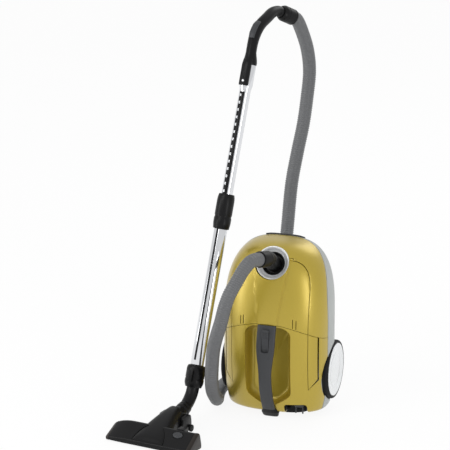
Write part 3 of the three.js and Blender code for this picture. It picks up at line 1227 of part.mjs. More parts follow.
const nozzle = new THREE.Group();
nozzle.name = 'floor_nozzle';
nozzle.rotation.z = rad(NOZZLE_YAW);
nozzle.position.set(COLLAR_CENTRE.x, COLLAR_CENTRE.y, 0)
  .sub(new THREE.Vector3(0, NOZZLE_REACH, 0).applyAxisAngle(Z_AXIS, rad(NOZZLE_YAW)));
vacuum.add(nozzle);
nozzle.updateMatrixWorld(true);

const pivot = new THREE.Vector3(0, PIVOT_BACK, PIVOT_HEIGHT);
const neckAim = (degrees) => new THREE.Vector3(0, Math.cos(rad(degrees)), Math.sin(rad(degrees)));
const onNeck = (distance) => pivot.clone().addScaledVector(neckAim(NECK_RISE), distance);
const inWorld = (point) => nozzle.localToWorld(point.clone());

function makeCollar() {
  const neckSeat = seat(NECK_RADIUS, 16);
  const tubeSeat = OUTER_TUBE_RADIUS + FIT;
  const ledge = OUTER_TUBE_START - FIT;
  const body = onTube([[neckSeat, -COLLAR_HALF], [COLLAR_RADIUS - 4, -COLLAR_HALF],
    [COLLAR_RADIUS, -COLLAR_HALF + 9], [COLLAR_RADIUS, COLLAR_HALF - 7],
    [COLLAR_RADIUS - 4, COLLAR_HALF], [tubeSeat, COLLAR_HALF], [tubeSeat, ledge],
    [neckSeat, ledge], [neckSeat, -COLLAR_HALF]], 16);
  const web = tubeBlock(-3, 3, COLLAR_RADIUS - 2, COLLAR_RADIUS + 8, -14, 15);
  const flange = tubeBlock(-8, 8, COLLAR_RADIUS + 5, COLLAR_RADIUS + 8, -14, 15);
  return join(body, web, flange);
}
piece('end_collar', makeCollar(), 'black');

const neckPath = new THREE.CatmullRomCurve3([inWorld(onNeck(SWIVEL_START)),
  inWorld(onNeck(SWIVEL_END - 6)), inWorld(onNeck(SWIVEL_END + 8)),
  inWorld(new THREE.Vector3(0, 222, 57)), inWorld(new THREE.Vector3(0, 237, 71)),
  tubeAt(-COLLAR_HALF - 3), tubeAt(-COLLAR_HALF + 12), tubeAt(-FIT)]);
piece('neck_tube', hollowSweep(neckPath, spaced(0, neckPath.getLength(), 8)
  .map((distance) => [distance, NECK_RADIUS, NECK_BORE]), 12, X_AXIS), 'black');

const yokeSeat = seat(NECK_RADIUS, 14);
function makeYoke() {
  const along = neckAim(NECK_RISE);
  let yoke = join(bar(BARREL_RADIUS, -BARREL_HALF, BARREL_HALF, 16, X_AXIS, pivot),
    bar(yokeSeat + YOKE_WALL, 0, SWIVEL_END, 14, along, pivot));
  yoke = cut(yoke, bar(NECK_BORE, -BARREL_RADIUS - 2, SWIVEL_END + 2, 12, along, pivot),
    bar(yokeSeat, SWIVEL_START - FIT, SWIVEL_END + 2, 14, along, pivot));
  const pin = bar(PIVOT_PIN_RADIUS, BARREL_HALF - 4, CARRIAGE_HALF - 3, 12, X_AXIS, pivot);
  return join(yoke, pin, mirrored(pin));
}

// ---------------------------------------------------------------- floor nozzle

const wingEnd = NOZZLE_WIDTH / 2 - END_CAP_WIDTH;
const wingOutline = [[1, SOLE_CLEARANCE, 2], [0, WING_FRONT_HEIGHT, 5], [23, WING_TOP - 18, 8],
  [52, WING_TOP, 5], [WING_DEPTH - 8, WING_TOP - 3, 5], [WING_DEPTH, 12, 5],
  [WING_DEPTH - 1, SOLE_CLEARANCE, 2]];

/** Arched hump over the middle, a distance inside its outer face. */
function humpForm(inset, bottom) {
  const stations = [[4, 0, 0.06], [12, 0.02, 0.2], [34, 0.08, 0.42], [80, 0.4, 0.74],
    [124, 0.8, 0.95], [HUMP_REAR, 1, 1]];
  return loft(stations.map(([y, narrow, rise], k) => {
    const half = HUMP_FRONT_HALF + (HUMP_REAR_HALF - HUMP_FRONT_HALF) * narrow - inset;
    const top = SPLIT_HEIGHT + 3 + (HUMP_TOP - SPLIT_HEIGHT - 3) * rise - inset;
    const back = k === 0 ? y + Math.max(0, inset) : y - (k === stations.length - 1 ? inset : 0);
    const arch = section(half, top - bottom, 16, 3).filter(([, v]) => v > -1e-6);
    return arch.map(([x, v]) => new THREE.Vector3(x, back, bottom + Math.max(0, v)));
  }));
}

/** Space that the neck and its barrel need as the nozzle tilts. */
const neckSweep = [-14, 18, 50]; // degrees above level, seen from the nozzle
function makeNeckSpace() {
  const reach = yokeSeat + YOKE_WALL + RUN;
  const at = (degrees, along, across) => [
    PIVOT_BACK + along * Math.cos(rad(degrees)) - across * Math.sin(rad(degrees)),
    PIVOT_HEIGHT + along * Math.sin(rad(degrees)) + across * Math.cos(rad(degrees))];
  const [low, middle, high] = neckSweep;
  const fan = outline([at(low, 0, -reach), at(low, 90, -reach), at(middle, 110, 0),
    at(high, 90, reach), at(high, 0, reach)]);
  return join(prismX(fan, -reach, reach), bar(BARREL_RADIUS + RUN, -BARREL_HALF - RUN,
    BARREL_HALF + RUN, 18, X_AXIS, pivot));
}
const neckSpace = makeNeckSpace();

const pedalSlope = Math.atan2(18, 29);
function floorPedal(grow, low, high) {
  const g = new THREE.CylinderGeometry(1, 1, high - low, 20);
  g.scale(14 + grow, 1, 9 + grow).translate(0, (low + high) / 2, 0);
  return solid(g.rotateX(Math.PI / 2 + pedalSlope).translate(FLOOR_PEDAL_X, FLOOR_PEDAL_Y, 38));
}

/** Rectangular frame, grown by a clearance, for the two brush strips. */
function brushForm(grow, low, high) {
  const front = 8 - grow;
  const rear = WING_DEPTH - 8 + grow;
  const depth = BRUSH_DEPTH + 2 * grow;
  const half = wingEnd - 6 + grow;
  const outer = box(-half, front, low, half, rear, high);
  return cut(outer, box(-half + depth, front + depth, low - 1, half - depth, rear - depth,
    high + 1));
}

function makeNozzleBase() {
  let base = prismX(roundedOutline(wingOutline, 2), -wingEnd + FIT, wingEnd - FIT);
  const lever = box(FLOOR_PEDAL_X - 12, WING_DEPTH - 14, SOLE_CLEARANCE + 4, FLOOR_PEDAL_X + 8,
    WING_DEPTH + 9, WING_TOP + 1);
  const plate = box(-CARRIAGE_HALF, WING_DEPTH - 12, SOLE_CLEARANCE + 1, CARRIAGE_HALF,
    CARRIAGE_REAR, SPLIT_HEIGHT - FIT);
  const cheek = prismX(roundedOutline([[122, SPLIT_HEIGHT - 4, 0], [132, 47, 8],
    [CARRIAGE_REAR - 4, 47, 10], [CARRIAGE_REAR, 28, 8], [CARRIAGE_REAR, 6, 4]], 1),
  BARREL_HALF + RUN, CARRIAGE_HALF);
  const stub = bar(3, CARRIAGE_HALF - 2, CARRIAGE_HALF + NOZZLE_WHEEL_WIDTH, 10, X_AXIS,
    new THREE.Vector3(0, NOZZLE_WHEEL_BACK, NOZZLE_WHEEL_RADIUS));
  base = cut(base, humpForm(-SEAM, SPLIT_HEIGHT - FIT));
  base = join(base, lever, plate, cheek, mirrored(cheek), stub, mirrored(stub));
  base = cut(base, humpForm(-SEAM / 2, SPLIT_HEIGHT - FIT), neckSpace,
    bar(PIVOT_PIN_RADIUS + FIT, -CARRIAGE_HALF + 2, CARRIAGE_HALF - 2, 12, X_AXIS, pivot),
    floorPedal(RUN + 0.6, -8, 14), brushForm(RUN, -1, 4 + 9 + RUN));
  const intakeFront = (WING_DEPTH - INTAKE_DEPTH) / 2;
  return cut(base, box(-wingEnd + 24, intakeFront, -1, wingEnd - 24, intakeFront + INTAKE_DEPTH, 12),
    box(-30, intakeFront, -1, 30, intakeFront + INTAKE_DEPTH, SPLIT_HEIGHT + 1));
}

function makeCap(side) {
  const middle = [WING_DEPTH / 2, WING_FRONT_HEIGHT];
  const rings = [[wingEnd, 1.02], [wingEnd + END_CAP_WIDTH - 4, 1.02], [NOZZLE_WIDTH / 2, 0.9]]
    .map(([x, scale]) => roundedOutline(wingOutline, 2).getPoints().map((p) => new THREE.Vector3(
      side * x, middle[0] + (p.x - middle[0]) * scale,
      Math.max(SOLE_CLEARANCE, middle[1] + (p.y - middle[1]) * scale),
    )));
  return loft(rings);
}

piece('nozzle_base', makeNozzleBase(), 'black', nozzle);
piece('nozzle_hump', cut(humpForm(0, SPLIT_HEIGHT), humpForm(HUMP_WALL, SPLIT_HEIGHT - 1),
  neckSpace), 'black', nozzle);
piece('nozzle_cap_left', makeCap(-1), 'noseBrown', nozzle);
piece('nozzle_cap_right', makeCap(1), 'noseBrown', nozzle);
piece('neck_yoke', makeYoke(), 'black', nozzle);
piece('nozzle_pedal', floorPedal(0, -4, 3), 'darkGrey', nozzle);
piece('brush_frame', brushForm(0, 4, 13), 'rubber', nozzle);
for (const [side, name] of [[-1, 'left'], [1, 'right']]) {
  piece(`nozzle_wheel_${name}`, pipe(NOZZLE_WHEEL_RADIUS, 3 + FIT, CARRIAGE_HALF + FIT,
    CARRIAGE_HALF + NOZZLE_WHEEL_WIDTH, 16, wheelAxis(side),
    new THREE.Vector3(0, NOZZLE_WHEEL_BACK, NOZZLE_WHEEL_RADIUS)), 'rubber', nozzle);
}

export default vacuum;
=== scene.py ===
"""Looks of a cylinder vacuum cleaner parked upright on its rear end.

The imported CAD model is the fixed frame. Each sub-assembly is a class that holds its sizes in
millimetres, builds finer meshes in the place of its CAD nodes and dresses them.
"""

import json
import logging
import math
from dataclasses import dataclass, field
from enum import Enum
from typing import Callable, Sequence

import bmesh
import bpy
from mathutils import Matrix, Vector

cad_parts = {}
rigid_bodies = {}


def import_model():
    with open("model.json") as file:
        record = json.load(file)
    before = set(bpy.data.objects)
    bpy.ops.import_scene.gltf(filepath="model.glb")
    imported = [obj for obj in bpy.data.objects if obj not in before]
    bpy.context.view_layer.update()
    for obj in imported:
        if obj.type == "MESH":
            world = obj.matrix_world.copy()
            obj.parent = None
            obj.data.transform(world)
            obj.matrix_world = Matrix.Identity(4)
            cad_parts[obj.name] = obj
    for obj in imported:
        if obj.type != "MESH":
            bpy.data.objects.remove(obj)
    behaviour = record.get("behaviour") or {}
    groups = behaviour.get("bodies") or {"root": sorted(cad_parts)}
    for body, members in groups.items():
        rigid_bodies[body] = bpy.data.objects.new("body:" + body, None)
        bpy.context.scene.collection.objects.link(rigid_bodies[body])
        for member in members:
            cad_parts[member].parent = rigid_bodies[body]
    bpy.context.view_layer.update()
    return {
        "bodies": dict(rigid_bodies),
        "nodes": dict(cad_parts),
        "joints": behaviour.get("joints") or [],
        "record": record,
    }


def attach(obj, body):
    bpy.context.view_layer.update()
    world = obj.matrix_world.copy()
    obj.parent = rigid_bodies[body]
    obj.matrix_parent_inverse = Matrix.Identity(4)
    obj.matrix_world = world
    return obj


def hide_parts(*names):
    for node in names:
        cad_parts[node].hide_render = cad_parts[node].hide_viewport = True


LOG = logging.getLogger("vacuum_looks")
MM = 0.001  # one millimetre in the scene's metres
FIT = 0.3  # clearance of pieces that touch
SEAM = 1.2  # width of a seam between covers
RUN = 1.0  # clearance of pieces that move
FAR = 400  # beyond every side of the machine
MERGE = 1e-7  # metres, corners nearer than this are one
THIN = 1e-8  # metres, edges shorter than this are dropped
SMALL = 1e-6  # millimetres, taken as nothing

Ring = list[Vector]
Pair = tuple[float, float]
Frame = tuple[Vector, Vector, Vector]
Placer = Callable[[float, float, float], Vector]
Material = bpy.types.Material
Node = bpy.types.Node
NodeSocket = bpy.types.NodeSocket
NodeTree = bpy.types.NodeTree
Object = bpy.types.Object


class Op(Enum):
    """The three ways of combining two solids."""

    JOIN = "UNION"
    CUT = "DIFFERENCE"
    COMMON = "INTERSECT"


X_AXIS = Vector((1, 0, 0))
Y_AXIS = Vector((0, 1, 0))
Z_AXIS = Vector((0, 0, 1))
ORIGIN = Vector((0, 0, 0))
SIDES = ((-1, "left"), (1, "right"))


# ------------------------ shape helpers


def spot(x: float, y: float, z: float) -> Vector:
    """A point as the default of a dataclass field."""
    return field(default_factory=lambda: Vector((x, y, z)))


def clamp01(t: float) -> float:
    """Keeps a number between 0 and 1."""
    return min(1.0, max(0.0, t))


def smoothstep(t: float, low: float, high: float) -> float:
    """Smooth rise from 0 at low to 1 at high."""
    x = clamp01((t - low) / (high - low))
    return x * x * (3 - 2 * x)


def spaced(start: float, end: float, steps: int) -> list[float]:
    """Values from start to end in equal steps."""
    return [start + (end - start) * i / steps for i in range(steps + 1)]


def section(u: float, v: float, count: int, exponent: float = 2.0) -> list[Pair]:
    """Rounded outline with half sizes u and v.

    Args:
        u: half size along the first axis.
        v: half size along the second axis.
        count: number of points.
        exponent: 2 is an ellipse, higher values are squarer.

    Returns:
        The outline's points in order.
    """
    points = []
    for i in range(count):
        t = 2 * math.pi * i / count
        c, s = math.cos(t), math.sin(t)
        points.append((u * math.copysign(abs(c) ** (2 / exponent), c),
                       v * math.copysign(abs(s) ** (2 / exponent), s)))
    return points


def bezier(start: Pair, corner: Pair, end: Pair, steps: int) -> list[Pair]:
    """Quadratic bend around a corner.

    Args:
        start: first point.
        corner: point that pulls the bend towards it.
        end: last point.
        steps: number of steps.

    Returns:
        The bend's points.
    """
    points = []
    for i in range(steps + 1):
        t = i / steps
        a, b, c = (1 - t) ** 2, 2 * t * (1 - t), t * t
        points.append((a * start[0] + b * corner[0] + c * end[0],
                       a * start[1] + b * corner[1] + c * end[1]))
    return points


def rounded_outline(corners: Sequence[Sequence[float]], steps: int = 6) -> list[Pair]:
    """Outline with rounded corners.

    Args:
        corners: each is (u, v) or (u, v, radius).
        steps: pieces in each rounding.

    Returns:
        The outline's points in order.
    """
    points: list[Pair] = []
    for i, corner in enumerate(corners):
        here = Vector(corner[:2])
        radius = corner[2] if len(corner) > 2 else 0
        before = Vector(corners[i - 1][:2]) - here
        after = Vector(corners[(i + 1) % len(corners)][:2]) - here
        reach = min(radius, before.length * 0.49, after.length * 0.49)
        if reach <= 0:
            points.append((here.x, here.y))
            continue
        start = here + before.normalized() * reach
        end = here + after.normalized() * reach
        points += bezier(tuple(start), tuple(here), tuple(end), steps)
    return points


def rounded_rectangle(u: float, v: float, width: float, height: float, radius: float,
                      steps: int = 6) -> list[Pair]:
    """Rounded rectangle centred on (u, v)."""
    w, h = width / 2, height / 2
    return rounded_outline([(u - w, v - h, radius), (u + w, v - h, radius),
                            (u + w, v + h, radius), (u - w, v + h, radius)], steps)


def put(name: str, data: bpy.types.ID) -> Object:
    """New object in the scene for a mesh, a curve, a lamp or a camera."""
    obj = bpy.data.objects.new(name, data)
    bpy.context.scene.collection.objects.link(obj)
    return obj


def mesh_object(name: str, vertices: Sequence[Vector], faces: Sequence[Sequence[int]]) -> Object:
    """Object of a mesh given in millimetres, with its faces turned outwards.

    Args:
        name: name of the object.
        vertices: corner points in millimetres.
        faces: corner numbers of each face.

    Returns:
        The new object, linked to the scene.
    """
    mesh = bpy.data.meshes.new(name)
    mesh.from_pydata([tuple(v * MM) for v in vertices], [], [tuple(f) for f in faces])
    work = bmesh.new()
    work.from_mesh(mesh)
    bmesh.ops.remove_doubles(work, verts=work.verts, dist=MERGE)
    bmesh.ops.recalc_face_normals(work, faces=work.faces)
    work.to_mesh(mesh)
    work.free()
    return put(name, mesh)


def loft(rings: Sequence[Ring], closed: bool = False) -> Object:
    """Solid through a stack of rings with the same number of points.

    Args:
        rings: the stack, from one end to the other.
        closed: joins the last ring to the first and leaves out the end caps.

    Returns:
        The solid.
    """
    count = len(rings[0])
    vertices = [p for ring in rings for p in ring]
    faces: list[list[int]] = []
    bands = len(rings) if closed else len(rings) - 1
    for k in range(bands):
        low, high = k * count, ((k + 1) % len(rings)) * count
        for i in range(count):
            j = (i + 1) % count
            faces.append([low + i, low + j, high + j, high + i])
    if not closed:
        for k in (0, len(rings) - 1):
            middle = sum(rings[k], Vector()) / count
            vertices.append(middle)
            hub = len(vertices) - 1
            for i in range(count):
                faces.append([hub, k * count + i, k * count + (i + 1) % count])
    return mesh_object("form", vertices, faces)


def across(axis: Vector, hint: Vector = X_AXIS) -> tuple[Vector, Vector]:
    """Two unit directions square to an axis and to each other."""
    hint = hint if abs(axis.dot(hint)) < 0.95 else Y_AXIS
    normal = (hint - axis * axis.dot(hint)).normalized()
    return normal, axis.cross(normal)


def revolve(profile: Sequence[Pair], sides: int, axis: Vector = Z_AXIS,
            origin: Vector = ORIGIN) -> Object:
    """Turned solid.

    Args:
        profile: (radius, distance along the axis) pairs; the first and last meet or lie on
            the axis.
        sides: number of steps round the axis.
        axis: direction of the axis.
        origin: point on the axis.

    Returns:
        The solid.
    """
    axis = axis.normalized()
    normal, side = across(axis)
    rings = []
    for i in range(sides):
        turn = 2 * math.pi * i / sides
        out = normal * math.cos(turn) + side * math.sin(turn)
        rings.append([origin + axis * h + out * max(r, 0.0) for r, h in profile])
    count = len(profile)
    vertices = [p for ring in rings for p in ring]
    faces = []
    for i in range(sides):
        j = (i + 1) % sides
        for k in range(count - 1):
            faces.append([i * count + k, j * count + k, j * count + k + 1, i * count + k + 1])
    obj = mesh_object("turned", vertices, faces)
    work = bmesh.new()
    work.from_mesh(obj.data)
    bmesh.ops.dissolve_degenerate(work, dist=THIN, edges=work.edges)
    bmesh.ops.recalc_face_normals(work, faces=work.faces)
    work.to_mesh(obj.data)
    work.free()
    return obj


def bar(radius: float, start: float, end: float, sides: int = 48, axis: Vector = Z_AXIS,
        origin: Vector = ORIGIN) -> Object:
    """Plain round bar, used as a stock shape to combine."""
    return revolve([(0, start), (radius, start), (radius, end), (0, end)], sides, axis, origin)


def prism(points: Sequence[Pair], start: float, end: float, place: Placer) -> Object:
    """Straight prism of an outline.

    Args:
        points: the outline.
        start: where the prism begins along its length.
        end: where it ends.
        place: gives the point for (first, second, length) coordinates.

    Returns:
        The solid.
    """
    count = len(points)
    vertices = [place(u, v, w) for w in (start, end) for u, v in points]
    faces = [[i, (i + 1) % count, count + (i + 1) % count, count + i] for i in range(count)]
    faces += [list(range(count)), list(range(2 * count - 1, count - 1, -1))]
    return mesh_object("prism", vertices, faces)


def prism_x(points: Sequence[Pair], start: float, end: float) -> Object:
    """Prism of an outline drawn in (y, z)."""
    return prism(points, start, end, lambda u, v, w: Vector((w, u, v)))


def prism_y(points: Sequence[Pair], start: float, end: float) -> Object:
    """Prism of an outline drawn in (x, z)."""
    return prism(points, start, end, lambda u, v, w: Vector((u, w, v)))


def box(low: Sequence[float], high: Sequence[float]) -> Object:
    """Box between two corners."""
    return prism_x([(low[1], low[2]), (high[1], low[2]), (high[1], high[2]),
                    (low[1], high[2])], low[0], high[0])


def copy_of(obj: Object) -> Object:
    """Separate copy of an object and its mesh."""
    return put(obj.name, obj.data.copy())


def evaluated_mesh(obj: Object) -> bpy.types.Mesh:
    """Plain mesh of an object with its modifiers applied."""
    graph = bpy.context.evaluated_depsgraph_get()
    return bpy.data.meshes.new_from_object(obj.evaluated_get(graph), depsgraph=graph)


def baked(obj: Object) -> Object:
    """Turns an object's live modifiers into its plain mesh."""
    mesh = evaluated_mesh(obj)
    obj.modifiers.clear()
    obj.data = mesh
    return obj


def combine(how: Op, first: Object, *tools: Object, keep: bool = False) -> Object:
    """Combines solids one after the other.

    Args:
        how: join, cut or common.
        first: the solid that is changed.
        tools: the solids that change it.
        keep: leaves the tools in the scene for further use.

    Returns:
        The first solid with the result as its mesh.
    """
    for tool in tools:
        change = first.modifiers.new("combine", "BOOLEAN")
        change.operation = how.value
        change.solver = "MANIFOLD"
        change.object = tool
        baked(first)
        if not keep:
            drop(tool)
    return first


def drop(*objects: Object) -> None:
    """Removes helper objects from the file."""
    for obj in objects:
        bpy.data.objects.remove(obj, do_unlink=True)


def frames_between(points: Sequence[Vector], befores: Sequence[Vector],
                   afters: Sequence[Vector], first_normal: Vector) -> list[Frame]:
    """Frames at points that turn as little as possible from one to the next.

    Args:
        points: where the frames stand.
        befores: a point of the path just before each.
        afters: a point of the path just after each.
        first_normal: direction that the first frame's normal leans towards.

    Returns:
        (point, normal, side) at each point.
    """
    frames = []
    normal = first_normal.copy()
    for point, before, after in zip(points, befores, afters):
        tangent = (after - before).normalized()
        normal = (normal - tangent * normal.dot(tangent)).normalized()
        frames.append((point, normal.copy(), tangent.cross(normal)))
    return frames


def frames_along(points: Sequence[Vector], first_normal: Vector) -> list[Frame]:
    """Frames at the points of a path, each aimed by its neighbours."""
    befores = [points[0], *points[:-1]]
    afters = [*points[1:], points[-1]]
    return frames_between(points, befores, afters, first_normal)


def catmull(points: Sequence[Vector], detail: int = 24) -> list[Vector]:
    """Smooth centripetal curve through points.

    Args:
        points: points that the curve passes.
        detail: steps between two of them.

    Returns:
        The curve's points.
    """
    padded = [points[0] * 2 - points[1], *points, points[-1] * 2 - points[-2]]
    line = [points[0].copy()]
    for i in range(1, len(padded) - 2):
        p0, p1, p2, p3 = padded[i - 1:i + 3]
        d0, d1, d2 = (math.sqrt((b - a).length) for a, b in ((p0, p1), (p1, p2), (p2, p3)))
        m1 = ((p1 - p0) / d0 - (p2 - p0) / (d0 + d1) + (p2 - p1) / d1) * d1
        m2 = ((p2 - p1) / d1 - (p3 - p1) / (d1 + d2) + (p3 - p2) / d2) * d1
        for k in range(1, detail + 1):
            t = k / detail
            t2, t3 = t * t, t * t * t
            line.append(p1 * (2 * t3 - 3 * t2 + 1) + m1 * (t3 - 2 * t2 + t)
                        + p2 * (3 * t2 - 2 * t3) + m2 * (t3 - t2))
    return line


def line_length(line: Sequence[Vector]) -> float:
    """Length of a polyline."""
    return sum((b - a).length for a, b in zip(line, line[1:]))


def along(line: Sequence[Vector], distances: Sequence[float]) -> list[Vector]:
    """Points at distances along a polyline.

    Args:
        line: the polyline.
        distances: how far from its start each point lies, rising.

    Returns:
        The points.
    """
    points = []
    walked, i = 0.0, 0
    for distance in distances:
        step = (line[i + 1] - line[i]).length
        while i < len(line) - 2 and walked + step < distance:
            walked += step
            i += 1
            step = (line[i + 1] - line[i]).length
        t = clamp01((distance - walked) / step)
        points.append(line[i].lerp(line[i + 1], t))
    return points


def ring_at(frame: Frame, outline: Sequence[Pair]) -> Ring:
    """Outline placed square to a path, at one of its frames."""
    point, out, side = frame
    return [point + out * u + side * v for u, v in outline]


def hollow_sweep(line: Sequence[Vector], stations: Sequence[tuple[float, float, float]],
                 sides: int, first_normal: Vector) -> Object:
    """Tube with a bore along a path.

    Args:
        line: dense path.
        stations: (distance along the path, outer radius, bore radius).
        sides: number of steps round it.
        first_normal: direction that the first ring leans towards.

    Returns:
        The tube, open at both ends.
    """
    look = 0.4  # millimetres before and after a station that give its direction
    frames = frames_between(along(line, [s[0] for s in stations]),
                            along(line, [max(0.0, s[0] - look) for s in stations]),
                            along(line, [s[0] + look for s in stations]), first_normal)
    outer = [ring_at(frame, section(s[1], s[1], sides)) for frame, s in zip(frames, stations)]
    inner = [ring_at(frame, section(s[2], s[2], sides)) for frame, s in zip(frames, stations)]
    return loft(outer + inner[::-1], closed=True)


# ------------------------ node trees


def add_node(tree: NodeTree, kind: str, values: dict | None = None, **settings: object) -> Node:
    """New node of a tree with its settings and the values of its sockets.

    Args:
        tree: the tree that gets the node.
        kind: the node's type.
        values: value of each input socket, by name or number.
        settings: the node's own settings.

    Returns:
        The node.
    """
    node = tree.nodes.new(kind)
    for name, value in settings.items():
        setattr(node, name, value)
    for socket, value in (values or {}).items():
        node.inputs[socket].default_value = value
    return node


def wire(tree: NodeTree, *pairs: tuple[NodeSocket, NodeSocket]) -> None:
    """Links outputs to inputs, given in pairs."""
    for out, into in pairs:
        tree.links.new(out, into)


def curve_tree(name: str, sizes: dict[str, float]) -> tuple[NodeTree, Node, Node]:
    """Geometry node tree that takes a curve, named sizes and a material.

    Args:
        name: name of the tree.
        sizes: default in millimetres of each named size.

    Returns:
        The tree, its input node, and the closing node, whose Geometry takes the finished
        shape. Its instances are made real and painted.
    """
    tree = bpy.data.node_groups.new(name, "GeometryNodeTree")
    face = tree.interface
    face.new_socket("Geometry", in_out="INPUT", socket_type="NodeSocketGeometry")
    for label, value in sizes.items():
        socket = face.new_socket(label, in_out="INPUT", socket_type="NodeSocketFloat")
        socket.default_value = value * MM
    face.new_socket("Material", in_out="INPUT", socket_type="NodeSocketMaterial")
    face.new_socket("Geometry", in_out="OUTPUT", socket_type="NodeSocketGeometry")
    come, go = add_node(tree, "NodeGroupInput"), add_node(tree, "NodeGroupOutput")
    real = add_node(tree, "GeometryNodeRealizeInstances")
    paint = add_node(tree, "GeometryNodeSetMaterial")
    wire(tree, (real.outputs["Geometry"], paint.inputs["Geometry"]),
         (come.outputs["Material"], paint.inputs["Material"]),
         (paint.outputs["Geometry"], go.inputs["Geometry"]))
    return tree, come, real


def grown(name: str, lines: Sequence[Sequence[Vector]], tree: NodeTree,
          material: Material) -> Object:
    """Plain mesh that a node tree makes along lines.

    Args:
        name: name of the mesh.
        lines: polylines in millimetres.
        tree: the node tree.
        material: the material that the tree gives the mesh.

    Returns:
        The object.
    """
    data = bpy.data.curves.new(f"{name}_lines", "CURVE")
    data.dimensions = "3D"
    data.twist_mode = "MINIMUM"
    for line in lines:
        spline = data.splines.new("POLY")
        spline.points.add(len(line) - 1)
        for point, where in zip(spline.points, line):
            point.co = (*(where * MM), 1)
    holder = put(f"{name}_lines", data)
    change = holder.modifiers.new("grown", "NODES")
    change.node_group = tree
    for item in tree.interface.items_tree:
        if item.in_out == "INPUT" and item.name == "Material":
            change[item.identifier] = material
    mesh = evaluated_mesh(holder)
    drop(holder)
    return put(name, mesh)


# ------------------------ finishes


class Pattern(Enum):
    """How a finish varies over its surface."""

    MOULDED = "fine moulded grain"
    FLAKE = "metallic flakes under lacquer"
    DRAWN = "fine lines along a drawn tube"
    FLEECE = "pressed fibres"
    CELLS = "open foam cells"
    TURNED = "wound or turned lines"


def new_group(name: str, inputs: dict[str, float], outputs: Sequence[str]
              ) -> tuple[NodeTree, Node, Node]:
    """Empty shader node group with named sockets, the first of them Position.

    Args:
        name: name of the group.
        inputs: default of each number that goes in.
        outputs: names of the numbers that come out.

    Returns:
        The group, its input node and its output node.
    """
    tree = bpy.data.node_groups.new(name, "ShaderNodeTree")
    tree.interface.new_socket("Position", in_out="INPUT", socket_type="NodeSocketVector")
    for label, default in inputs.items():
        socket = tree.interface.new_socket(label, in_out="INPUT", socket_type="NodeSocketFloat")
        socket.default_value = default
    for label in outputs:
        tree.interface.new_socket(label, in_out="OUTPUT", socket_type="NodeSocketFloat")
    return tree, add_node(tree, "NodeGroupInput"), add_node(tree, "NodeGroupOutput")


def grain_group() -> NodeTree:
    """Fine grain and slow tone of a moulded or painted surface."""
    tree, come, go = new_group(
        "surface_grain", {"Grain Scale": 900.0, "Tone Scale": 9.0, "Stretch": 1.0},
        ["Height", "Tone"])
    fine = add_node(tree, "ShaderNodeTexNoise", {"Detail": 3.0})
    slow = add_node(tree, "ShaderNodeTexNoise", {"Detail": 2.0})
    squeeze = add_node(tree, "ShaderNodeCombineXYZ", {0: 1.0, 1: 1.0})
    scaled = add_node(tree, "ShaderNodeVectorMath", operation="MULTIPLY")
    wire(tree, (come.outputs["Stretch"], squeeze.inputs[2]),
         (come.outputs["Position"], scaled.inputs[0]),
         (squeeze.outputs[0], scaled.inputs[1]),
         (scaled.outputs[0], fine.inputs["Vector"]),
         (come.outputs["Position"], slow.inputs["Vector"]),
         (come.outputs["Grain Scale"], fine.inputs["Scale"]),
         (come.outputs["Tone Scale"], slow.inputs["Scale"]),
         (fine.outputs["Fac"], go.inputs["Height"]),
         (slow.outputs["Fac"], go.inputs["Tone"]))
    return tree


def flake_group() -> NodeTree:
    """Small flakes of differing brightness, as in metallic lacquer."""
    tree, come, go = new_group("metal_flakes", {"Flake Scale": 1600.0}, ["Flakes"])
    cells = add_node(tree, "ShaderNodeTexVoronoi")
    split = add_node(tree, "ShaderNodeSeparateColor")
    wire(tree, (come.outputs["Position"], cells.inputs["Vector"]),
         (come.outputs["Flake Scale"], cells.inputs["Scale"]),
         (cells.outputs["Color"], split.inputs[0]),
         (split.outputs[0], go.inputs["Flakes"]))
    return tree


FLAKE_SHARE = 0.07
BUMP_STRENGTH = 0.6
MIX_FACTOR, MIX_FIRST, MIX_SECOND, MIX_RESULT = 0, 6, 7, 2  # a colour Mix node's sockets


